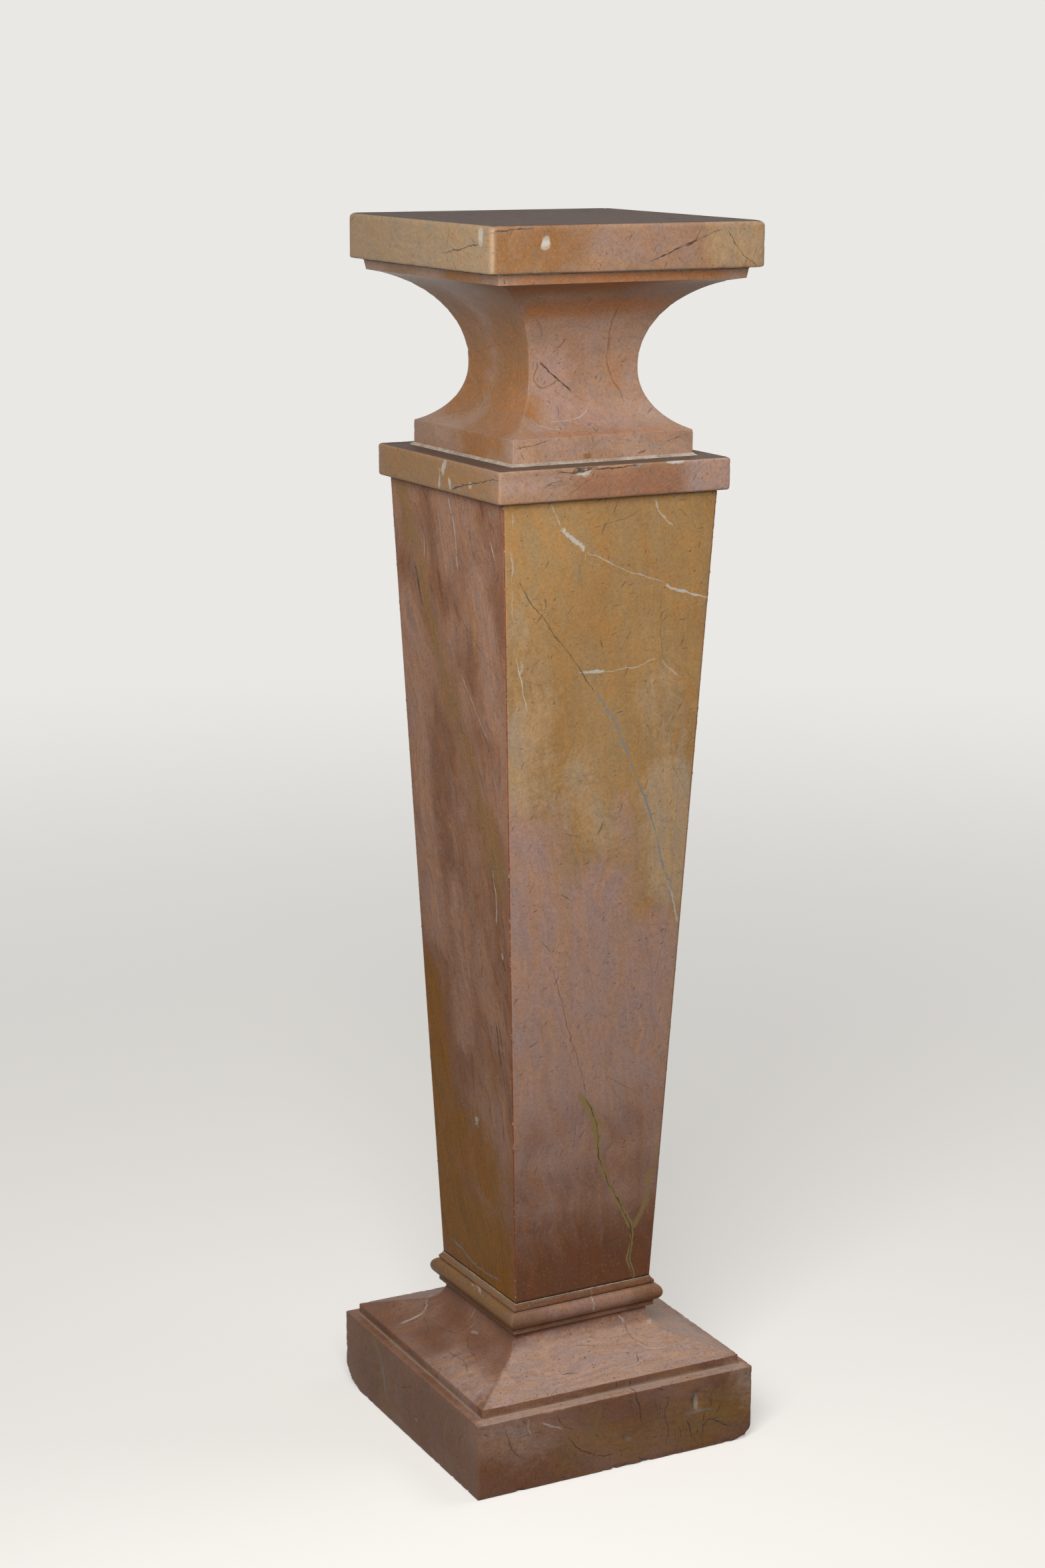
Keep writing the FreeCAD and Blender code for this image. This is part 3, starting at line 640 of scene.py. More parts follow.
lay_veins(base, pale=[
    (1.6, 0.7, (-72, 106, 95), (-94, 73, 98), (-100, 65, 96)),
    (3.0, 0.8, (-123, 66, 89), (-111, 64, 93), (-99, 67, 97)),
    (2.0, 0.7, (-73, 7, 118), (-78, 8, 108)),
    (2.0, 0.6, (-80, -2, 106), (-85, -2, 102)),
    (4.0, 0.5, (-83, -17, 103), (-85, -9, 102)),
    (2.0, 0.7, (40, -72, 120), (44, -73, 116), (47, -76, 110)),
    (1.5, 0.6, (49, -92, 99), (55, -108, 94), (74, -109, 94)),
    (4.0, 0.7, (72, -78, 108), (76, -78, 108)),
    (1.2, 0.5, (14, -125, 89), (38, -121, 90), (58, -113, 92)),
    (2.0, 0.7, (-82, -148, 65), (-71, -148, 59), (-59, -148, 53)),
    (1.6, 0.6, (-95, -148, 72), (-96, -148, 62), (-92, -148, 53)),
    (6.0, 0.6, (85, -146, 58), (87, -145, 50), (86, -146, 44)),
    (4.0, 0.6, (-148, -13, 26), (-148, -17, 26)),
], grey=[
    (1.0, 0.5, (71, -73, 116), (77, -78, 107), (82, -84, 102), (89, -91, 99)),
    (4.5, 0.8, (9, -148, 29), (13, -148, 27)),
    (3.0, 0.7, (74, -148, 40), (84, -148, 41), (101, -148, 40)),
    (2.0, 0.5, (10, -138, 76), (6, -148, 69)),
    (2.5, 0.7, (-148, 81, 70), (-148, 65, 61), (-148, 58, 43), (-148, 55, 23)),
    (1.6, 0.5, (-148, 32, 45), (-148, 24, 24)),
], dark=[
    (0.8, 0.75, (-103, 32, 95), (-98, 2, 97), (-83, -23, 103)),
    (1.0, 0.85, (-45, -115, 92), (-28, -117, 91)),
    (1.0, 0.85, (43, -107, 94), (36, -121, 90)),
    (1.4, 1.0, (18, -135, 85), (19, -140, 75), (18, -148, 70), (24, -148, 56), (26, -148, 39)),
    (0.8, 0.75, (-16, -85, 102), (-4, -84, 102), (12, -90, 100)),
    (1.0, 0.85, (-54, -148, 45), (-47, -148, 34), (-38, -148, 27), (-19, -148, 16),
     (-1, -148, 17)),
    (1.7, 1.0, (68, -148, 29), (70, -148, 15)),
    (1.2, 0.95, (76, -148, 35), (79, -148, 24), (82, -148, 12)),
    (1.2, 0.95, (91, -148, 23), (101, -148, 31), (112, -148, 23), (123, -148, 17)),
    (1.2, 0.95, (96, -148, 39), (94, -148, 27), (93, -148, 13)),
    (1.0, 0.85, (106, -148, 31), (110, -148, 36), (115, -148, 46)),
    (0.8, 0.75, (39, -148, 68), (43, -148, 53), (44, -148, 38)),
    (1.2, 0.95, (-148, -86, 44), (-148, -94, 36)),
    (1.4, 0.85, (-148, 18, 45), (-148, -7, 56)),
    (1.0, 0.7, (-120, -148, 66), (-112, -148, 40), (-98, -148, 30)),
    (1.0, 0.7, (-66, -148, 70), (-60, -148, 56), (-46, -148, 50)),
    (1.0, 0.75, (58, -148, 62), (50, -148, 48), (56, -148, 30), (52, -148, 12)),
    (1.0, 0.7, (108, -148, 62), (100, -148, 52), (104, -148, 40)),
    (1.0, 0.7, (-148, -128, 62), (-148, -110, 50), (-148, -104, 30)),
    (1.1, 0.8, (-148, -60, 60), (-148, -70, 44), (-148, -62, 26)),
    (1.0, 0.7, (-148, -30, 64), (-148, -22, 48), (-148, -34, 30)),
    (1.0, 0.7, (-148, 96, 62), (-148, 104, 44), (-148, 100, 24)),
    (1.0, 0.7, (-120, -70, 91), (-112, -50, 93), (-116, -20, 92)),
    (1.0, 0.7, (-104, -60, 96), (-100, -30, 97), (-90, -10, 100)),
    (0.9, 0.6, (-122, 20, 90), (-110, 34, 93), (-104, 60, 95)),
], warm=[
    (2.5, 0.6, (47, -76, 110), (47, -84, 102), (49, -92, 99), (55, -101, 96)),
    (5.0, 0.8, (-19, -148, 67), (-23, -148, 52), (-28, -148, 36), (-30, -148, 28)),
    (6.0, 0.5, (98, -148, 26), (118, -148, 34)),
    (9.0, 0.5, (-148, 81, 71), (-148, 72, 59), (-148, 58, 40), (-148, 49, 14)),
    (3.0, 0.6, (-148, -86, 60), (-148, -76, 36), (-148, -80, 14)),
])
lay_tints(base, [
    # The apron's front and right and the ledge top are painted paler pink: partly paler stone,
    # partly a painted sheen of the light from above.
    (1, 1.0, 50, [(-100, -125, 90), (0, -110, 95), (100, -125, 90)], APRON_LIT_SIDES),
    (1, 1.0, 40, [(-60, -90, 100), (60, -90, 100), (110, -110, 95)], APRON_LIT_SIDES),
    (1, 0.8, 10, [(-140, -143, 76), (140, -143, 76)], (0, 0, 1)),
    (1, 0.72, 34, [(-126, -105, 90), (-122, -30, 90)], LEFT),
    (1, 0.45, 26, [(-110, 100, 92), (-95, 60, 97)], LEFT),
    (2, 0.5, 30, [(-88, -20, 100), (-85, 40, 101)], LEFT),
    (2, 0.6, 22, [(-118, -5, 93), (-116, 30, 94)], (-1, 0, 0.5)),
    (1, 0.6, 22, [(-60, -80, 108), (70, -80, 108)], FRONT),
    (1, 0.44, 36, [(-136, -148, 62), (-84, -148, 44)], FRONT),
    (0, 0.66, 42, [(76, -148, 30), (120, -148, 36), (148, -148, 50)], FRONT),
    (0, 0.52, 34, [(-56, -148, 26), (-20, -148, 44), (10, -148, 24), (60, -148, 44)], FRONT),
    (1, 0.38, 30, [(-148, -130, 60), (-148, -40, 40)], LEFT),
    (1, 0.2, 22, [(-148, 110, 66), (-148, 140, 40)], LEFT),
    (1, 0.55, 26, [(136, -148, 76), (148, -148, 50)], FRONT),
    (0, 0.8, 15, [(-148, 80, 70), (-148, 66, 40), (-148, 55, 8)], LEFT),
    # The plinth's left face is painted a darker, deeper brown as shade.
    (2, 0.55, 60, [(-148, -100, 40), (-148, 100, 40)], LEFT),
    # The apron's right side is painted paler pink, partly paler stone, partly a painted sheen.
    (1, 0.9, 40, [(110, -100, 92), (110, 60, 92)], (1, 0, 0)),
])

# ---- Torus course ----
# A thin course of ochre marble on a skim of lime mortar: fillet, half-round torus, a fine quirk
# and a chamfered bead under the shaft. Turned slightly on the base when it was set. Mortar
# squeezed from the shaft's bed stays in the corner above the chamfer.
COLUMN_TURN = 1.4


def filler(name, pale, dark, grain, fleck=None, flecked=0.0, rough=0.9):
    """Mortar, plaster or mastic: a matt mass with sand of so many mm, and flecks pressed in."""
    material = bpy.data.materials.new(name)
    tree = empty_tree(material)
    where = add(tree, "ShaderNodeTexCoord").outputs["Object"]
    stain = add(tree, "ShaderNodeTexNoise", {"Vector": where, "Scale": 1000 / 16, "Detail": 4.0})
    share = add(tree, "ShaderNodeMapRange", [stain, 0.35, 0.65])
    mass = add(tree, "ShaderNodeMix", {0: share, 6: colour(pale), 7: colour(dark)},
               data_type="RGBA")
    sand = add(tree, "ShaderNodeTexNoise", {
        "Vector": where, "Scale": 1000 / grain, "Detail": 3.0, "Roughness": 0.7})
    shade = add(tree, "ShaderNodeMapRange", [sand, 0.3, 0.7, 0.75, 1.2])
    mass = add(tree, "ShaderNodeMix", {0: 1.0, 6: mass, 7: shade}, data_type="RGBA",
               blend_type="MULTIPLY")
    if fleck:
        crumbs = add(tree, "ShaderNodeTexNoise", {
            "Vector": where, "Scale": 1000 / 5, "Detail": 4.0, "Roughness": 0.75})
        start = 0.64 - 0.2 * flecked
        share = add(tree, "ShaderNodeMapRange", [crumbs, start, start + 0.06])
        mass = add(tree, "ShaderNodeMix", {0: share, 6: mass, 7: colour(fleck)},
                   data_type="RGBA")
    relief = add(tree, "ShaderNodeMath", [stain, 0.5, sand], operation="MULTIPLY_ADD")
    surface = add(tree, "ShaderNodeBump", {"Strength": 0.8, "Distance": 0.0005, "Height": relief})
    shader = add(tree, "ShaderNodeBsdfPrincipled", {
        "Base Color": mass, "Roughness": rough, "Normal": surface, "IOR": 1.5,
        "Specular IOR Level": 0.3})
    add(tree, "ShaderNodeOutputMaterial", {"Surface": shader})
    return material


def finish_node(node, material):
    """Gives a node kept from the CAD its material."""
    for slot in bpy.data.objects[node].material_slots:
        slot.material = material


def bead_tree():
    """Lays a bead of filler along a drawn line, lumpy, with crumbs of it pressed on."""
    tree, given = open_group("bead of filler", "Line", "Bead", (
        ("Half width", "Float"), ("Lump height", "Float"), ("Lump length", "Float"),
        ("Crumbs per area", "Float"), ("Crumb size", "Float"), ("Seed", "Int"),
        ("Filler", "Material")))
    line = add(tree, "GeometryNodeMeshToCurve", [given["Line"]])
    line = add(tree, "GeometryNodeResampleCurve", {"Curve": line, "Length": 0.0014},
               mode="LENGTH")
    profile = add(tree, "GeometryNodeCurvePrimitiveCircle", {
        "Resolution": 9, "Radius": given["Half width"]})
    bead = add(tree, "GeometryNodeCurveToMesh", {
        "Curve": line, "Profile Curve": profile.outputs["Curve"], "Fill Caps": True})
    position = add(tree, "GeometryNodeInputPosition")
    normal = add(tree, "GeometryNodeInputNormal")
    shift = add(tree, "ShaderNodeCombineXYZ", [given["Seed"]])
    seat = add(tree, "ShaderNodeVectorMath", [position, shift], operation="ADD")
    scale = add(tree, "ShaderNodeMath", [1.0, given["Lump length"]], operation="DIVIDE")
    lumps = add(tree, "ShaderNodeTexNoise", {
        "Vector": seat, "Scale": scale, "Detail": 4.0, "Roughness": 0.65})
    lumps = add(tree, "ShaderNodeMapRange", [lumps, 0.3, 0.7, -1.0, 1.0])
    lumps = add(tree, "ShaderNodeMath", [lumps, given["Lump height"]], operation="MULTIPLY")
    lumps = add(tree, "ShaderNodeVectorMath", {0: normal, "Scale": lumps}, operation="SCALE")
    bead = add(tree, "GeometryNodeSetPosition", {"Geometry": bead, "Offset": lumps})

    places = add(tree, "GeometryNodeDistributePointsOnFaces", {
        "Mesh": bead, "Density": given["Crumbs per area"], "Seed": given["Seed"]})
    crumb = add(tree, "GeometryNodeMeshIcoSphere", {"Radius": 1.0, "Subdivisions": 2})
    size = add(tree, "FunctionNodeRandomValue", {
        0: (0.35, 0.35, 0.3), 1: (1.0, 1.0, 0.8), "Seed": given["Seed"]},
        data_type="FLOAT_VECTOR")
    size = add(tree, "ShaderNodeVectorMath", {0: size, "Scale": given["Crumb size"]},
               operation="SCALE")
    turn = add(tree, "FunctionNodeRandomValue", {1: (6.28, 6.28, 6.28), "Seed": given["Seed"]},
               data_type="FLOAT_VECTOR")
    crumbs = add(tree, "GeometryNodeInstanceOnPoints", {
        "Points": places.outputs["Points"], "Instance": crumb.outputs["Mesh"], "Scale": size,
        "Rotation": turn})
    both = add(tree, "GeometryNodeJoinGeometry", [crumbs])
    tree.links.new(bead.outputs[0], both.inputs[0])
    smooth = add(tree, "GeometryNodeSetShadeSmooth", [both])
    real = add(tree, "GeometryNodeRealizeInstances", [smooth])
    stuff = add(tree, "GeometryNodeSetMaterial", {"Geometry": real, "Material": given["Filler"]})
    add(tree, "NodeGroupOutput", [stuff])
    return tree


bead_of_filler = bead_tree()
PER_SQUARE_CM = 1e4             # as a number to the square metre


def laid_bead(name, lines, half_width, lump_height, lump_length, crumbs, crumb_size, stuff, seed,
              turn):
    """A bead along lines of places in mm, each closed if it ends where it starts.

    Crumbs are so many to a square centimetre of the bead.
    """
    points, edges = [], []
    for line in lines:
        closed = line[0] == line[-1]
        first, count = len(points), len(line) - closed
        points += line[:count]
        edges += [(first + i, first + i + 1) for i in range(count - 1)]
        if closed:
            edges.append((first + count - 1, first))
    mesh = bpy.data.meshes.new(name)
    mesh.from_pydata([[c * MM for c in point] for point in points], edges, [])
    return worked_piece(mesh, bead_of_filler, {
        "Half width": half_width * MM, "Lump height": lump_height * MM,
        "Lump length": lump_length * MM, "Crumbs per area": crumbs * PER_SQUARE_CM,
        "Crumb size": crumb_size * MM, "Seed": seed, "Filler": stuff}, turn)


def square_line(half, level):
    """A closed square line at a half width and level."""
    corners = [(-half, -half, level), (half, -half, level), (half, half, level),
               (-half, half, level)]
    return corners + corners[:1]


lime_mortar = filler("lime mortar with sharp sand", "#bcae9f", "#9c8c7b", 1.5)
TORUS_FOOT, TORUS_TOP = 123.5, 152.5
TORUS_RADIUS, TORUS_CENTRE = 8.8, 75.2
TORUS_FILLET_HALF, BEAD_HALF, BEAD_TOP_HALF = 77.3, 77.7, 74.6
TORUS_LOW = TORUS_FOOT + 5.2
TORUS_HIGH = TORUS_LOW + 2 * TORUS_RADIUS
BEAD_LOW = TORUS_HIGH + 0.7     # over the quirk
BEAD_HIGH = TORUS_HIGH + 2.9    # where its chamfer begins
torus_middle = (TORUS_CENTRE, TORUS_LOW + TORUS_RADIUS)
torus_bulge = (TORUS_CENTRE + TORUS_RADIUS, TORUS_LOW + TORUS_RADIUS)
torus_section = drawn_section(
    [(ROD_HOLE, TORUS_TOP, 0, 0), (ROD_HOLE, TORUS_FOOT, 0, 0),
     (TORUS_FILLET_HALF, TORUS_FOOT, 0.4, 0.5), (TORUS_FILLET_HALF, TORUS_LOW, 0.4, 0.5)]
    + arc(torus_middle, (TORUS_CENTRE, TORUS_LOW), torus_bulge, 12)
    + arc(torus_middle, torus_bulge, (TORUS_CENTRE, TORUS_HIGH), 12)[1:]
    + [(TORUS_CENTRE, BEAD_LOW, 0, -1.0), (BEAD_HALF, BEAD_LOW, 0.2, 0.6),
       (BEAD_HALF, BEAD_HIGH, 0.5, 0.8), (BEAD_TOP_HALF, TORUS_TOP, 0.3, -0.9),
       (ROD_HOLE, TORUS_TOP, 0, 0)], spacing=2.2, edge_reach=1.8)
ochre_marble = marble(
    "ochre marble, polished", "#9c7860", "#876148", "#6e4b34", (80, 10, 0), 2,
    bed_across=3, bed_along=60, streaks=0.5, cloud=50, tints=("#8c6842", "#a58171", "#7a5138"),
    polish=0.34, arris="#a37c60", dust="#9a8570", dust_shows=0.5)
torus = moulded_block("torus_stone", torus_section, ochre_marble, seed=2.0, easing=0.9,
                      unevenness=0.15, chip_depth=0.4, chip_length=7, turn=COLUMN_TURN)
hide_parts("torus_moulding")
lay_veins(torus, pale=[
    (2.5, 0.6, (9, -78, 148), (8, -82, 143), (8, -84, 135)),
    (3.0, 0.6, (-78, -3, 147), (-78, -11, 146), (-80, -17, 145)),
    (2.0, 0.5, (-79, -3, 146), (-79, 6, 145)),
])
lay_tints(torus, [
    (0, 0.8, 30, [(-84, 60, 140), (-84, -60, 140)], LEFT),
    (1, 0.7, 25, [(-30, -84, 142), (40, -84, 142)], FRONT),
    (2, 0.5, 14, [(-80, -84, 138), (-60, -84, 138)], FRONT),
    (2, 1.0, 5, [(-77, -76, 151), (77, -76, 151)], FRONT),
])
finish_node("torus_bed", lime_mortar)
finish_node("shaft_foot_bed", lime_mortar)
foot_joint = laid_bead("shaft_foot_joint", [square_line(BEAD_TOP_HALF - 0.2, TORUS_TOP + 0.4)],
                       half_width=0.55, lump_height=0.4, lump_length=5.0, crumbs=6,
                       crumb_size=0.6, stuff=lime_mortar, seed=3, turn=COLUMN_TURN)

# ---- Shaft ----
# Four slabs of veined marble, sawn 20 mm thick and mitred at the corners to make a hollow shaft
# that widens upwards. The front slab turns from ochre to pink; the left slab is streaked.
SHAFT_FOOT, SHAFT_HEAD = 153.3, 919.0
FOOT_HALF, HEAD_HALF = 74.0, 110.2
SLAB_THICKNESS, MITRE_SET_BACK = 20.0, 1 / math.sqrt(2)
ARRIS_INSET = 0.75              # the mastic's bead runs this far inside the arris


SLAB_COLUMNS, SLAB_ROWS = 78, 290
SLAB_EASING = 0.5
ARRIS_REACH = 2.5               # mm in which the rub of an arris fades on the face


def slab(name, stone, quarter):
    """One slab of the casing as a closed mesh, front, right, back or left for quarter 0 to 3."""
    share = np.linspace(0, 1, SLAB_COLUMNS + 1)
    share = 0.5 * share + 0.25 - 0.25 * np.cos(math.pi * share)
    levels = np.linspace(SHAFT_FOOT, SHAFT_HEAD, SLAB_ROWS + 1)
    outer_half = np.interp(levels, (SHAFT_FOOT, SHAFT_HEAD), (FOOT_HALF, HEAD_HALF))
    rings, edges = [], []
    for level, outer in zip(levels, outer_half):
        inner = outer - SLAB_THICKNESS
        end = outer - MITRE_SET_BACK
        across = -end + SLAB_EASING + 2 * (end - SLAB_EASING) * share
        face = [(x, -outer) for x in across]
        right_mitre = [(end - k, -outer + k) for k in (SLAB_EASING * 0.4, 4, 12)]
        back = [(x, -inner) for x in np.linspace(inner - MITRE_SET_BACK, MITRE_SET_BACK - inner, 5)]
        left_mitre = [(-x, y) for x, y in reversed(right_mitre)]
        ring = face + right_mitre + back + left_mitre
        rings.append([(x, y, level) for x, y in ring])
        from_arris = end - np.abs(across)
        edges.append(list(np.exp(-(from_arris / ARRIS_REACH) ** 2))
                     + [0.0] * (len(ring) - len(face)))
    size = len(rings[0])
    places = np.array(rings).reshape(-1, 3) * MM
    faces = []
    for j in range(SLAB_ROWS):
        for i in range(size):
            k = (i + 1) % size
            faces.append((j * size + i, j * size + k, (j + 1) * size + k, (j + 1) * size + i))
    faces.append(tuple(reversed(range(size))))
    faces.append(tuple(SLAB_ROWS * size + i for i in range(size)))
    mesh = bpy.data.meshes.new(name)
    mesh.from_pydata(places.tolist(), [], faces)
    mesh.attributes.new("edge", "FLOAT", "POINT").data.foreach_set("value", np.concatenate(edges))
    mesh.materials.append(stone)
    mesh.polygons.foreach_set("use_smooth", [True] * (len(faces) - 2) + [False] * 2)
    mesh.transform(Matrix.Rotation(math.radians(90 * quarter + COLUMN_TURN), 4, "Z"))
    piece = bpy.data.objects.new(name, mesh)
    bpy.context.scene.collection.objects.link(piece)
    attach(piece, "root")
    return piece


front_marble = marble(
    "veined marble, ochre to pink, polished", "#b08d60", "#a78153", "#977245", (0, 8, 0), 3,
    bed_across=5, bed_along=110, streaks=0.45, cloud=120, tints=("#b89b7a", "#b08e80", "#754930"),
    vein_tones={"warm": "#9a8153", "dark": "#4f4438", "grey": "#88898a"}, polish=0.36,
    arris="#a5764f")
left_marble = marble(
    "streaked marble, brown and mauve, polished", "#b0866e", "#91654b", "#52301f", (14, 0, 0), 5,
    bed_across=4, bed_along=80, streaks=0.95, cloud=70, tints=("#98744b", "#b08871", "#94621d"),
    vein_tones={"warm": "#a08058"}, polish=0.36, arris="#94694c", rags=(1.7, 0.8, 0.9),
    shine=0.05, banding=0.24)
front_tints = [
    (0, 0.4, 38, [(-85, -104, 810), (-84, -102, 770)]),
    (0, 0.7, 38, [(-80, -100, 720), (-80, -97, 650)]),
    (0, 0.6, 35, [(-20, -97, 665), (0, -95, 610)]),
    (0, 1.0, 34, [(70, -96, 650), (84, -93, 560)]),
    (0, 0.5, 40, [(60, -100, 740), (70, -97, 680)]),
    (1, 1.0, 58, [(-85, -94, 590), (-72, -92, 520), (-60, -88, 430), (-55, -84, 340),
     (-50, -78, 180)]),
    (1, 0.9, 52, [(5, -93, 545), (0, -88, 450), (0, -84, 350), (0, -78, 180)]),
    (1, 0.95, 50, [(60, -90, 490), (55, -87, 420), (50, -84, 350), (50, -78, 180)]),
    (1, 0.5, 22, [(25, -96, 640), (38, -93, 580)]),
    (2, 0.42, 66, [(-60, -80, 312), (60, -80, 312)]),
    (2, 0.5, 60, [(-60, -79, 262), (60, -79, 262)]),
    (2, 0.8, 112, [(-74, -75, 160), (74, -75, 160)]),
]
left_tints = [
    (0, 0.62, 22, [(-110, 88, 915), (-108, 62, 850), (-104, 32, 780), (-100, 0, 720),
     (-97, -35, 660), (-94, -60, 610), (-92, -75, 560)]),
    (0, 0.6, 13, [(-104, -45, 815), (-102, -50, 780)]),
    (1, 0.85, 26, [(-104, -58, 840), (-101, -72, 780), (-99, -80, 720)]),
    (1, 0.8, 30, [(-104, 84, 800), (-98, 76, 690), (-93, 64, 590), (-90, 55, 500)]),
    (1, 0.65, 20, [(-108, 14, 912), (-106, 2, 850)]),
    (1, 0.65, 30, [(-90, 10, 540), (-88, 0, 480), (-86, 10, 400)]),
    (2, 0.8, 44, [(-84, 80, 430), (-82, 66, 350), (-78, 60, 260)]),
    (2, 0.68, 60, [(-80, 45, 300), (-80, -30, 265)]),
    (2, 0.4, 40, [(-83, -50, 380)]),
    (2, 0.95, 60, [(-76, 50, 215), (-75, -30, 190), (-74, -30, 165)]),
]
# The front's golden vein and the lower end of it; a dark crack runs down its middle.
GOLDEN_VEIN = ((12, -81, 300), (14, -80, 288), (18, -79, 276), (24, -79, 262), (32, -78, 248),
               (40, -77, 234), (46, -76, 220), (54, -75, 207))
GOLDEN_FOOT = ((54, -75, 207), (54, -75, 194), (52, -74, 183), (50, -74, 175), (55, -73, 166),
               (59, -73, 153))
front_veins = dict(pale=[
    (1.0, 0.75, (-60, -112, 917), (-56, -111, 911), (-50, -110, 899), (-48, -110, 895)),
    (4.0, 1.0, (-48, -110, 895), (-41, -110, 888), (-34, -109, 882), (-26, -109, 877),
     (-23, -108, 871)),
    (0.8, 0.7, (-23, -109, 872), (-13, -108, 868), (4, -107, 860), (20, -107, 852),
     (44, -106, 844), (61, -105, 838)),
    (2.4, 1.0, (62, -105, 836), (72, -104, 831), (89, -104, 826), (105, -103, 821)),
    (1.6, 0.9, (76, -91, 556), (82, -90, 542), (87, -89, 523), (90, -89, 510)),
    (2.6, 0.95, (-21, -103, 762), (-12, -103, 762), (1, -103, 761)),
    (1.0, 0.7, (1, -103, 761), (16, -102, 761), (24, -102, 763), (29, -102, 761), (38, -102, 763),
     (47, -102, 766), (57, -102, 768)),
    (1.3, 0.75, (60, -102, 766), (68, -101, 758), (76, -101, 754), (81, -100, 749)),
    (1.2, 0.9, (-91, -106, 782), (-89, -106, 774), (-85, -105, 763), (-82, -104, 746),
     (-77, -103, 729)),
    (2.2, 0.5, (-98, -110, 874), (-95, -110, 862), (-97, -110, 855)),
    (1.2, 0.5, (-95, -109, 842), (-96, -108, 828), (-95, -108, 815)),
    (1.0, 0.6, (-99, -112, 913), (-97, -112, 905), (-98, -112, 898)),
    (1.6, 0.7, (48, -109, 916), (50, -108, 906), (60, -108, 895), (68, -107, 888)),
    (2.6, 0.4, (-83, -106, 775), (-85, -105, 768)),
], grey=[
    (0.6, 0.5, (-48, -110, 895), (-26, -109, 880), (-7, -108, 868), (12, -107, 858)),
    (2.0, 1.0, (-7, -102, 742), (0, -101, 733), (6, -101, 724), (15, -100, 711), (20, -99, 699),
     (27, -98, 684), (34, -98, 668), (43, -96, 647), (50, -96, 635), (56, -95, 620),
     (63, -94, 599)),
    (1.6, 0.9, (63, -94, 599), (68, -93, 581), (75, -91, 560), (82, -90, 542), (87, -89, 523),
     (90, -89, 510)),
    (1.5, 0.7, (-31, -108, 858), (-28, -108, 846)),
    (0.8, 0.6, (81, -90, 530), (87, -99, 722)),
    (1.6, 0.6, (-51, -92, 508), (-47, -92, 503), (-45, -91, 498)),
    (2.5, 0.6, (74, -83, 379), (79, -83, 380)),
], dark=[
    (1.0, 0.75, (-90, -109, 851), (-80, -108, 833), (-69, -107, 821), (-62, -107, 814),
     (-56, -106, 805), (-50, -106, 796), (-42, -105, 788), (-34, -104, 776), (-23, -103, 763),
     (-15, -103, 750), (-7, -102, 742)),
    (0.6, 0.6, (-17, -109, 892), (4, -109, 897), (25, -109, 902), (34, -109, 907)),
    (0.5, 0.55, (69, -108, 908), (82, -107, 898), (95, -106, 884)),
    (0.5, 0.5, (58, -105, 835), (58, -104, 813), (59, -103, 791), (60, -102, 780),
     (63, -101, 764)),
    (2.0, 0.8, (-63, -108, 834), (-62, -108, 829), (-60, -107, 824)),
    (1.2, 0.7, (-4, -104, 791), (-1, -104, 782)),
    (0.8, 0.8, (-39, -94, 557), (-32, -94, 551), (-25, -93, 546)),
    (0.6, 0.5, (77, -96, 666), (86, -95, 651), (93, -95, 639)),
    (0.6, 0.6, (-59, -93, 515), (-50, -92, 506), (-45, -91, 498)),
    (0.7, 0.7, (-43, -91, 485), (-40, -90, 474), (-35, -89, 458), (-30, -88, 443), (-25, -87, 424),
     (-19, -86, 406), (-12, -85, 386), (-6, -84, 369), (-2, -84, 354)),
    (1.0, 0.95, (-2, -83, 350), (3, -83, 338), (9, -82, 326), (12, -81, 311), *GOLDEN_VEIN,
     *GOLDEN_FOOT[1:]),
    (0.6, 0.7, (60, -82, 358), (68, -82, 348)),
    (2.2, 0.6, (29, -75, 197), (37, -75, 199)),
], warm=[
    (7.5, 1.0, (-9, -84, 353), (-4, -83, 346), (3, -83, 336), (8, -82, 326), (10, -81, 314),
     (12, -81, 300)),
    (5.5, 1.0, *GOLDEN_VEIN),
    (4.5, 1.0, *GOLDEN_FOOT),
    (4.0, 0.9, (8, -82, 329), (14, -82, 323), (18, -81, 317)),
    (6.0, 0.9, (55, -75, 208), (63, -76, 221), (69, -76, 235), (71, -77, 248), (68, -77, 259),
     (76, -77, 264)),
    (3.0, 0.7, (76, -77, 264), (80, -78, 272), (79, -78, 287)),
])
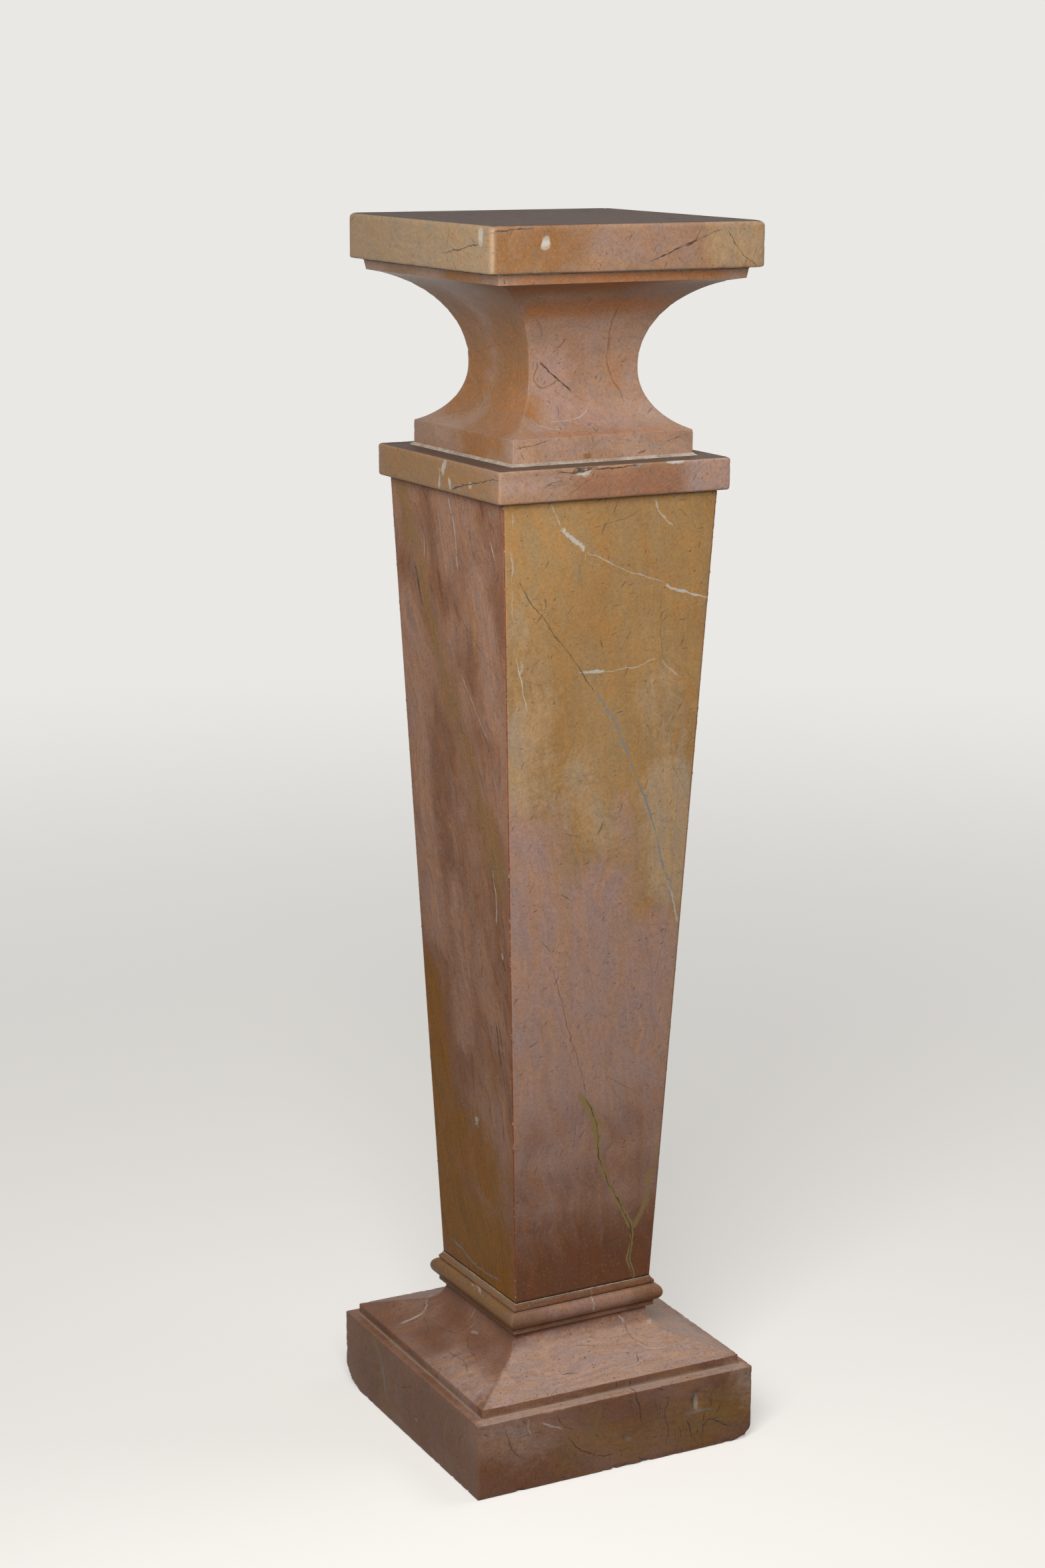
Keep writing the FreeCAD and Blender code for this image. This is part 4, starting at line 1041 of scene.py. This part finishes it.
left_veins = dict(pale=[
    (1.4, 0.9, (-110, -7, 915), (-109, -15, 896), (-108, -20, 881), (-107, -20, 859),
     (-106, -21, 848)),
    (2.2, 0.9, (-106, -87, 881), (-106, -92, 871)),
    (1.2, 0.6, (-102, -19, 752), (-101, -35, 735), (-99, -51, 716), (-98, -66, 700)),
    (0.9, 0.5, (-97, -70, 678), (-96, -80, 653)),
    (1.8, 0.85, (-92, -65, 578), (-92, -67, 566), (-91, -70, 555), (-90, -70, 538),
     (-90, -68, 526)),
    (1.0, 0.6, (-109, 46, 878), (-109, 42, 864), (-108, 45, 850)),
    (1.4, 0.7, (-91, -69, 541), (-90, -71, 530)),
    (4.0, 0.9, (-89, -77, 500), (-88, -78, 496)),
    (4.5, 1.0, (-82, -9, 320), (-81, -13, 316), (-81, -14, 312)),
    (1.0, 0.7, (-82, -17, 323), (-81, -13, 312)),
    (1.8, 0.9, (-83, -57, 376), (-83, -58, 375)),
    (1.0, 0.5, (-83, 11, 346), (-83, 4, 332)),
], grey=[
    (5.0, 0.75, (-108, -86, 909), (-108, -88, 906)),
    (4.5, 0.7, (-107, -79, 899), (-107, -80, 895)),
    (2.6, 0.85, (-105, -56, 834), (-104, -64, 824)),
    (2.2, 0.95, (-76, 55, 174), (-76, 32, 172), (-75, 19, 167), (-74, 2, 163), (-74, -20, 164),
     (-74, -43, 166)),
    (2.0, 0.6, (-77, -69, 246), (-76, -73, 243)),
], dark=[
    (1.6, 0.8, (-107, -77, 884), (-106, -76, 875)),
    (2.0, 0.8, (-105, -100, 861), (-104, -96, 847)),
    (2.6, 1.0, (-108, 65, 841), (-108, 60, 831), (-107, 56, 812)),
    (0.6, 0.7, (-105, -16, 809), (-103, -46, 789), (-102, -72, 772), (-100, -100, 755)),
    (1.0, 0.8, (-89, -84, 515), (-88, -80, 501), (-88, -80, 485), (-87, -82, 476),
     (-87, -87, 464)),
    (4.0, 0.7, (-85, -61, 425), (-84, -63, 407), (-84, -66, 389)),
    (1.4, 0.8, (-81, -19, 309), (-80, -21, 301), (-80, -23, 294)),
    (0.6, 0.6, (-85, -9, 388), (-84, -8, 363), (-82, -7, 322)),
    (0.5, 0.5, (-79, -33, 283), (-79, -39, 272)),
], warm=[
    (4.0, 0.6, (-101, -33, 744), (-100, -49, 727), (-99, -64, 710)),
])
right_veins = dict(pale=[
    (2.0, 0.8, (110, 40, 905), (107, 60, 860), (105, 84, 830)),
], grey=[
    (1.4, 0.8, (106, -70, 880), (104, -30, 800), (100, 10, 730), (98, 34, 660)),
], dark=[
    (0.8, 0.8, (86, 40, 400), (83, 20, 340), (80, 8, 270), (76, 12, 200), (74, 6, 154)),
], warm=[
    (5.0, 0.8, (86, 40, 400), (83, 20, 340), (80, 8, 270), (76, 12, 200)),
])
right_tints = [
    (0, 0.6, 40, [(104, 50, 790), (100, 20, 680)]),
    (1, 0.95, 60, [(94, -50, 560), (86, -45, 400), (78, -40, 200)]),
    (1, 0.9, 55, [(92, 45, 540), (86, 45, 380), (78, 40, 200)]),
    (2, 0.42, 60, [(80, -60, 312), (80, 60, 312)]),
    (2, 0.8, 124, [(75, -74, 160), (75, 74, 160)]),
]
back_veins = dict(pale=[
    (1.6, 0.8, (60, 108, 880), (40, 105, 820), (34, 102, 760)),
], grey=[
    (2.0, 0.7, (50, 88, 460), (30, 84, 380), (36, 80, 290)),
], dark=[
    (0.8, 0.7, (-60, 106, 860), (-30, 101, 750), (-10, 97, 650), (-18, 92, 540)),
])
back_tints = [
    (0, 0.6, 40, [(40, 105, 800), (60, 98, 640)]),
    (1, 0.9, 60, [(60, 94, 560), (50, 88, 420), (45, 80, 200)]),
    (1, 0.85, 55, [(-50, 93, 520), (-45, 86, 380), (-40, 80, 200)]),
    (2, 0.42, 60, [(-60, 80, 305), (60, 80, 305)]),
    (2, 0.8, 124, [(-74, 75, 160), (74, 75, 160)]),
]
slabs = (("shaft_front_slab", front_marble, front_veins, front_tints),
         ("shaft_right_slab", front_marble, right_veins, right_tints),
         ("shaft_back_slab", front_marble, back_veins, back_tints),
         ("shaft_left_slab", left_marble, left_veins, left_tints))
for quarter, (node, stone, veins, strokes) in enumerate(slabs):
    piece = slab(node + "_stone", stone, quarter)
    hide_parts(node)
    lay_veins(piece, **veins)
    lay_tints(piece, strokes)

# Red mastic fills the mitres and stands a little proud in places, with marble dust pressed in.
red_mastic = filler("red mastic", "#8f5038", "#733a26", 2.0, fleck="#b9a793", flecked=0.25,
                    rough=0.6)
finish_node("arris_mastic", red_mastic)
arrises = []
for x, y in ((-1, -1), (1, -1), (1, 1), (-1, 1)):
    arrises.append([(x * half, y * half, level) for half, level in (
        (FOOT_HALF - ARRIS_INSET, SHAFT_FOOT + 1), (HEAD_HALF - ARRIS_INSET, SHAFT_HEAD - 1))])
mastic_bead = laid_bead("arris_mastic_bead", arrises, half_width=0.5, lump_height=0.45,
                        lump_length=7.0, crumbs=5, crumb_size=0.7, stuff=red_mastic, seed=4,
                        turn=COLUMN_TURN)

# ---- Inside the shaft ----
# Cleats of cast plaster in the inner corners, wrought iron cramps across each mitre, a threaded
# rod with nuts and washers through all the courses, and dowels under the abacus.


def wrought_iron_stock():
    """Black scale on hammered iron, with rust in patches where damp got in."""
    material = bpy.data.materials.new("wrought iron, scaled and rusted")
    tree = empty_tree(material)
    where = add(tree, "ShaderNodeTexCoord").outputs["Object"]
    scale = add(tree, "ShaderNodeTexNoise", {
        "Vector": where, "Scale": 1000 / 7, "Detail": 6.0, "Roughness": 0.65})
    rusted = add(tree, "ShaderNodeMapRange", [scale, 0.48, 0.6])
    tone = add(tree, "ShaderNodeMix", {
        0: rusted, 6: colour("#3b3735"), 7: colour("#6b3f28")}, data_type="RGBA")
    bare = add(tree, "ShaderNodeMapRange", [rusted, 0.0, 1.0, 1.0, 0.0])
    gloss = add(tree, "ShaderNodeMapRange", [rusted, 0.0, 1.0, 0.5, 0.9])
    surface = add(tree, "ShaderNodeBump", {"Strength": 0.7, "Distance": 0.0003, "Height": scale})
    shader = add(tree, "ShaderNodeBsdfPrincipled", {
        "Base Color": tone, "Metallic": bare, "Roughness": gloss, "Normal": surface})
    add(tree, "ShaderNodeOutputMaterial", {"Surface": shader})
    return material


cast_plaster = filler("cast plaster", "#d8d2c6", "#c3baab", 3.0)
wrought_iron = wrought_iron_stock()
finish_node("corner_cleats", cast_plaster)
for node in ("head_cramps", "foot_cramps", "tie_rod", "bottom_washer", "bottom_nut", "top_washer",
             "top_nut", "abacus_dowels"):
    finish_node(node, wrought_iron)

# ---- Necking slab ----
# A flat slab of peach marble bedded in lime mortar on the shaft's head, its edges rounded all
# round, with a black fracture healed with white calcite across the front.
NECKING_HALF, NECKING_FOOT, NECKING_TOP = 119.0, 919.8, 949.7
necking_section = drawn_section(
    [(ROD_HOLE, NECKING_TOP, 0, 0), (ROD_HOLE, NECKING_FOOT, 0, 0),
     (NECKING_HALF, NECKING_FOOT, 2.5, 0.8), (NECKING_HALF, NECKING_TOP, 2.5, 0.8),
     (90, NECKING_TOP, 0, 0), (ROD_HOLE, NECKING_TOP, 0, 0)], spacing=2.4)
necking_marble = marble(
    "peach marble of the necking, polished", "#a98569", "#99765a", "#886246", (70, 20, 30), 7,
    bed_across=3, bed_along=50, streaks=0.5, cloud=60, tints=("#a07a50", "#af9287", "#9c7058"),
    # the up-facing top of the slab is painted this darker colour as shade
    polish=0.34, arris="#a9856a", top_shade_tone="#5c4e47")
necking = moulded_block("necking_stone", necking_section, necking_marble, seed=4.0, easing=2.5,
                        unevenness=0.3, turn=COLUMN_TURN)
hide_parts("necking_slab")
lay_veins(necking, pale=[
    (5.5, 0.95, (-119, -20, 947), (-119, -15, 940), (-119, -16, 936)),
    (3.0, 0.9, (-119, -10, 932), (-119, -8, 924)),
    (4.0, 0.9, (-118, -28, 933), (-118, -30, 923)),
    (5.0, 0.9, (-117, -66, 932), (-117, -69, 932)),
    (7.0, 0.95, (-37, -120, 945), (-32, -120, 944), (-27, -120, 945)),
    (4.0, 0.9, (55, -116, 950), (63, -116, 949), (71, -116, 950)),
], grey=[
    (4.0, 0.7, (-118, -34, 927), (-118, -48, 926)),
    (2.4, 0.8, (19, -119, 947), (30, -117, 949)),
], dark=[
    (1.6, 1.0, (-118, -32, 924), (-118, -44, 928), (-118, -61, 931), (-117, -93, 938),
     (-114, -122, 943)),
    (1.6, 1.0, (-59, -120, 947), (-51, -120, 946), (-43, -120, 944), (-34, -120, 945),
     (-28, -120, 947), (-21, -119, 948)),
    (2.4, 1.0, (-40, -120, 948), (-31, -120, 948), (-20, -119, 949)),
    (1.6, 1.0, (-21, -120, 947), (-7, -119, 946), (7, -119, 947), (25, -118, 948)),
    (0.6, 0.7, (-76, -121, 923), (-69, -121, 936), (-51, -120, 939)),
    (0.5, 0.6, (-51, -120, 923), (-31, -120, 934), (-22, -120, 941)),
    (0.5, 0.5, (-69, -121, 931), (-46, -120, 937)),
])
lay_tints(necking, [
    (0, 0.75, 24, [(-119, 90, 935), (-119, -90, 935)], LEFT),
    (1, 0.5, 30, [(-105, -119, 935), (-62, -119, 935)], FRONT),
    (2, 0.75, 20, [(-25, -119, 930), (60, -119, 932)], FRONT),
    (1, 0.75, 48, [(100, -119, 935), (119, -119, 935)], FRONT),
])
finish_node("shaft_head_bed", lime_mortar)

# ---- Capital ----
# One block of peach marble worked to a foot fillet, a deep scotia of two hollows and an upper
# fillet. It sits on a bead of rough mortar, set a little askew on the necking.
CAPITAL_TURN = COLUMN_TURN + 0.7
CAPITAL_FOOT, FOOT_FILLET_TOP, FOOT_FILLET_HALF = 950.7, 973.0, 93.6
WAIST_HALF, WAIST_LOW, WAIST_HIGH = 56.7, 1026.31, 1028.71
LOWER_RADIUS, UPPER_RADIUS = 57.0, 81.0
UPPER_FILLET_HALF, UPPER_FILLET_FOOT = 126.2, 1108.93
CAPITAL_TOP_HALF, CAPITAL_TOP = 127.6, 1117.83
NUT_RECESS_DEPTH = 25.0
capital_section = drawn_section(
    [(ROD_HOLE, CAPITAL_TOP - NUT_RECESS_DEPTH, 0, 0), (ROD_HOLE, CAPITAL_FOOT, 0, 0),
     (FOOT_FILLET_HALF, CAPITAL_FOOT, 0.5, 0.4), (FOOT_FILLET_HALF, FOOT_FILLET_TOP, 1.0, 0.8)]
    + arc((WAIST_HALF + LOWER_RADIUS, WAIST_LOW), (FOOT_FILLET_HALF, FOOT_FILLET_TOP),
          (WAIST_HALF, WAIST_LOW))[1:]
    + arc((WAIST_HALF + UPPER_RADIUS, WAIST_HIGH), (WAIST_HALF, WAIST_HIGH),
          (UPPER_FILLET_HALF, UPPER_FILLET_FOOT), 36)[:-1]
    + [(UPPER_FILLET_HALF, UPPER_FILLET_FOOT, 0.4, 0.6),
       (CAPITAL_TOP_HALF, CAPITAL_TOP, 0.8, 0.6),
       (ROUND_TO, CAPITAL_TOP, 0, 0), (ROUND_TO, CAPITAL_TOP - NUT_RECESS_DEPTH, 0, 0),
       (ROD_HOLE, CAPITAL_TOP - NUT_RECESS_DEPTH, 0, 0)], spacing=2.4)
capital_marble = marble(
    "peach marble of the capital, polished", "#ae8f7c", "#a17f69", "#88654f", (65, 35, 10), 9,
    bed_across=4, bed_along=60, streaks=0.45, cloud=60, tints=("#97693d", "#a9897b", "#ac7650"),
    vein_tones={"warm": "#8a5f3e"}, polish=0.33, arris="#a58068")
capital = moulded_block("capital_stone", capital_section, capital_marble, seed=5.0, easing=1.0,
                        unevenness=0.3, turn=CAPITAL_TURN)
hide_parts("capital_block")
lay_veins(capital, pale=[
    (0.9, 0.6, (2, -65, 997), (-2, -69, 991), (-15, -74, 986), (-31, -76, 985), (-45, -76, 985)),
    (0.9, 0.5, (-58, -78, 984), (-43, -83, 979), (-33, -86, 977)),
], grey=[
    (2.0, 0.9, (48, -92, 957), (55, -92, 960), (67, -91, 962), (71, -91, 964)),
], dark=[
    (2.0, 0.8, (-117, -131, 1114), (-116, -131, 1110)),
    (0.8, 0.8, (-92, -37, 1096), (-88, -55, 1094), (-77, -53, 1084), (-66, -48, 1069),
     (-58, -42, 1051), (-55, -38, 1025), (-62, -46, 1000), (-70, -51, 988), (-79, -51, 980)),
    (1.5, 1.0, (-45, -59, 1037), (-35, -58, 1028), (-26, -58, 1021), (-19, -59, 1015),
     (-11, -60, 1007)),
    (1.6, 0.6, (-20, -63, 1059), (-22, -61, 1053), (-26, -60, 1048), (-32, -59, 1043)),
    (1.8, 0.6, (-8, -88, 1092), (-10, -83, 1088)),
    (0.6, 0.6, (-59, 52, 1031), (-59, 40, 1018), (-61, 23, 1006), (-70, 2, 990), (-85, -26, 976)),
    (0.6, 0.5, (-59, 47, 1035), (-59, 11, 1044), (-59, -24, 1051), (-59, -42, 1054)),
    (0.6, 0.5, (-88, 46, 1091), (-75, 48, 1078), (-70, 36, 1071)),
    (0.6, 0.5, (-82, 54, 981), (-74, 32, 986), (-68, 9, 992)),
    (0.8, 0.8, (-87, -97, 965), (-70, -96, 967), (-53, -96, 971)),
    (0.9, 0.8, (36, -92, 953), (48, -92, 957)),
    (0.9, 0.8, (67, -91, 963), (77, -91, 966), (87, -90, 968)),
    (2.0, 0.7, (-27, -95, 965), (-26, -95, 963)),
], warm=[
    (1.4, 0.6, (-11, -60, 1007), (2, -64, 998)),
    (2.2, 0.7, (25, -76, 1082), (24, -66, 1068), (26, -58, 1049), (25, -56, 1033), (31, -56, 1018),
     (37, -58, 1008), (39, -62, 1000)),
    (1.6, 0.7, (-48, -59, 1038), (-46, -58, 1031), (-51, -59, 1021), (-43, -60, 1011),
     (-28, -58, 1017), (-26, -58, 1022)),
    (4.5, 0.9, (-18, -94, 955), (-11, -94, 955)),
])
lay_tints(capital, [
    (0, 0.9, 45, [(-110, -60, 1105), (-62, -30, 1045), (-62, -30, 1010), (-85, -30, 975)], LEFT),
    (0, 0.8, 40, [(-100, 60, 1095), (-60, 30, 1035), (-70, 40, 990)], LEFT),
    (2, 0.95, 24, [(-90, -115, 1110), (90, -115, 1110)], FRONT),
    (2, 0.7, 20, [(-60, -80, 1085), (60, -80, 1085)], FRONT),
    (1, 0.8, 24, [(-30, -60, 1035), (-25, -70, 995), (20, -76, 985)], FRONT),
    (1, 0.6, 20, [(-10, -78, 1080), (5, -62, 1055)], FRONT),
    (2, 0.4, 12, [(32, -80, 1088), (28, -58, 1040), (46, -62, 1005)], FRONT),
    (2, 0.5, 30, [(-62, -50, 1000), (-85, -60, 978)], LEFT),
    (0, 0.85, 30, [(-62, -50, 996), (-88, -60, 976)], (-1, 0, 1)),
    (2, 0.5, 9, [(-70, -90, 977), (80, -90, 977)], FRONT),
])
finish_node("capital_bed", lime_mortar)
foot_mortar = laid_bead(
    "capital_foot_mortar", [square_line(FOOT_FILLET_HALF + 0.7, CAPITAL_FOOT - 0.4)],
    half_width=1.0, lump_height=1.0, lump_length=4.0, crumbs=14, crumb_size=1.0,
    stuff=lime_mortar, seed=5, turn=CAPITAL_TURN)

# ---- Abacus ----
# The top slab, peach marble with soft rounded arrises, bedded in a thin line of grey mastic.
# Its flat top is rougher from use and painted darker and greyer as shade.
ABACUS_HALF, ABACUS_FOOT, ABACUS_TOP = 138.5, 1118.83, 1160.02
abacus_section = drawn_section(
    [(0, ABACUS_FOOT, 0, 0), (ABACUS_HALF, ABACUS_FOOT, 2.0, 0.7),
     (ABACUS_HALF, ABACUS_TOP, 4.5, 0.7), (30, ABACUS_TOP, 0, 0), (0, ABACUS_TOP, 0, 0)],
    spacing=2.6)
abacus_marble = marble(
    "peach marble of the abacus, polished", "#a5856b", "#98745a", "#87614a", (75, 15, 40), 11,
    bed_across=4, bed_along=50, streaks=0.45, cloud=70, tints=("#91673f", "#9f7f6d", "#ab9070"),
    # the flat top is painted this dark grey as shade
    polish=0.34, arris="#aa8a70", top_shade_tone="#3c3333")
abacus = moulded_block("abacus_stone", abacus_section, abacus_marble, seed=6.0, easing=4.5,
                       unevenness=0.35, turn=COLUMN_TURN)
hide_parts("abacus_slab")
lay_veins(abacus, pale=[
    (9.0, 1.0, (-136, -123, 1154), (-136, -123, 1146)),
    (8.0, 1.0, (-82, -141, 1147), (-82, -141, 1142)),
], grey=[
    (3.0, 0.7, (-49, -140, 1136), (-48, -140, 1136)),
    (3.0, 0.6, (106, -136, 1153), (107, -136, 1152)),
], dark=[
    (1.2, 0.9, (-137, -52, 1133), (-137, -66, 1135), (-136, -87, 1138), (-136, -108, 1142),
     (-136, -121, 1144)),
    (1.2, 0.9, (-135, -134, 1151), (-134, -140, 1154), (-128, -142, 1155), (-120, -141, 1156),
     (-106, -141, 1157), (-92, -140, 1157)),
    (0.6, 0.6, (-139, 26, 1153), (-140, 41, 1147), (-140, 49, 1136), (-140, 53, 1125)),
    (0.6, 0.6, (-137, -68, 1157), (-137, -63, 1146), (-137, -59, 1134)),
    (0.8, 0.8, (-142, 131, 1151), (-141, 122, 1157), (-138, 116, 1160)),
    (1.4, 1.0, (22, -138, 1127), (37, -138, 1132), (49, -137, 1137), (56, -137, 1139)),
    (2.0, 1.0, (56, -137, 1139), (64, -137, 1142), (72, -137, 1145)),
    (0.7, 0.7, (72, -137, 1145), (84, -136, 1150), (96, -136, 1153)),
    (1.2, 0.9, (101, -136, 1152), (107, -136, 1143), (114, -136, 1134), (124, -136, 1126),
     (133, -134, 1119)),
    (2.4, 0.5, (-2, -139, 1147), (0, -138, 1148)),
])
lay_tints(abacus, [
    (2, 0.95, 40, [(-138, -140, 1140), (-138, 140, 1140)], LEFT),
    (0, 0.62, 44, [(-132, -138, 1138), (-72, -138, 1138)], FRONT),
    (1, 0.7, 26, [(-20, -138, 1140), (60, -138, 1140)], FRONT),
    (2, 0.8, 26, [(95, -138, 1140), (138, -138, 1140)], FRONT),
])
grey_mastic = filler("grey bedding mastic", "#a29a8e", "#857c70", 1.5, rough=0.7)
finish_node("abacus_bed", grey_mastic)
abacus_joint = laid_bead("abacus_joint", [square_line(127.5, ABACUS_FOOT - 0.53)],
                         half_width=0.7, lump_height=0.6, lump_length=9.0, crumbs=1.5,
                         crumb_size=1.1, stuff=grey_mastic, seed=6, turn=CAPITAL_TURN)

# ---- Floor, light and camera ----
# A sweep of pale paper, seen pale by the camera and in reflections; its own light on the object
# is kept low, and its shadowed part still shows under the plinth.


def seen_share(tree):
    """1 where the camera, a reflection or a look through glass meets the thing, 0 for light."""
    path = add(tree, "ShaderNodeLightPath").outputs
    seen = add(tree, "ShaderNodeMath", [path["Is Camera Ray"], path["Is Glossy Ray"]],
               operation="MAXIMUM")
    return add(tree, "ShaderNodeMath", [seen, path["Is Transmission Ray"]], operation="MAXIMUM")


PAPER = colour("#eae8e4")
paper = bpy.data.materials.new("pale paper sweep")
tree = empty_tree(paper)
place = add(tree, "ShaderNodeNewGeometry").outputs["Position"]
away = add(tree, "ShaderNodeVectorMath", [place], operation="LENGTH").outputs["Value"]
away = add(tree, "ShaderNodeMapRange", [away, 0.3, 4.0], interpolation_type="SMOOTHSTEP")
lit = add(tree, "ShaderNodeBsdfDiffuse", [colour("#e4e1dc")])
glow = add(tree, "ShaderNodeEmission", [PAPER, 0.5])
near = add(tree, "ShaderNodeAddShader", [lit, glow])
far = add(tree, "ShaderNodeEmission", [PAPER, 1.0])
shown = add(tree, "ShaderNodeMixShader", [away, near, far])
felt = add(tree, "ShaderNodeBsdfDiffuse", [colour("#55524e")])
surface = add(tree, "ShaderNodeMixShader", [seen_share(tree), felt, shown])
add(tree, "ShaderNodeOutputMaterial", [surface])
floor = bpy.data.meshes.new("floor")
FLOOR_HALF = 30.0
floor.from_pydata(square_line(FLOOR_HALF, 0)[:4], [], [(0, 1, 2, 3)])
floor.materials.append(paper)
floor = bpy.data.objects.new("floor", floor)
bpy.context.scene.collection.objects.link(floor)

world = bpy.data.worlds.new("studio")
tree = empty_tree(world)
fill = add(tree, "ShaderNodeBackground", [PAPER, 0.14])
backdrop = add(tree, "ShaderNodeBackground", [PAPER, 1.0])
studio = add(tree, "ShaderNodeMixShader", [seen_share(tree), fill, backdrop])
add(tree, "ShaderNodeOutputWorld", [studio])
bpy.context.scene.world = world

# A softbox near the camera at the height of the slab, and a weaker one above to the right.
for name, size, power, place, aimed in (
        ("softbox", 0.9, 25.0, (-0.84, -1.1, 1.44), (0, 0, 1.0)),
        ("top light", 0.8, 5.5, (0.85, -0.3, 1.95), (0, 0, 0.4))):
    lamp = bpy.data.lights.new(name, "AREA")
    lamp.shape = "SQUARE"
    lamp.size = size
    lamp.energy = power
    lamp = bpy.data.objects.new(name, lamp)
    lamp.location = place
    aim = Vector(aimed) - lamp.location
    lamp.rotation_euler = aim.to_track_quat("-Z", "Y").to_euler()
    bpy.context.scene.collection.objects.link(lamp)

yaw, pitch, roll = (math.radians(angle) for angle in (-27.561, 13.394, 0.317))
level_right = Vector((math.cos(yaw), math.sin(yaw), 0))
ahead = Vector((-math.sin(yaw) * math.cos(pitch), math.cos(yaw) * math.cos(pitch),
                -math.sin(pitch)))
level_up = level_right.cross(ahead)
right = math.cos(roll) * level_right + math.sin(roll) * level_up
up = math.cos(roll) * level_up - math.sin(roll) * level_right
camera = bpy.data.cameras.new("camera")
camera.lens = 67.99
camera.sensor_width = 36.0
camera = bpy.data.objects.new("camera", camera)
camera.matrix_world = Matrix.Translation((-1.2758, -2.3904, 1.2799)) @ Matrix(
    (right, up, -ahead)).transposed().to_4x4()
bpy.context.scene.collection.objects.link(camera)
bpy.context.scene.camera = camera
bpy.context.scene.view_settings.view_transform = "Standard"
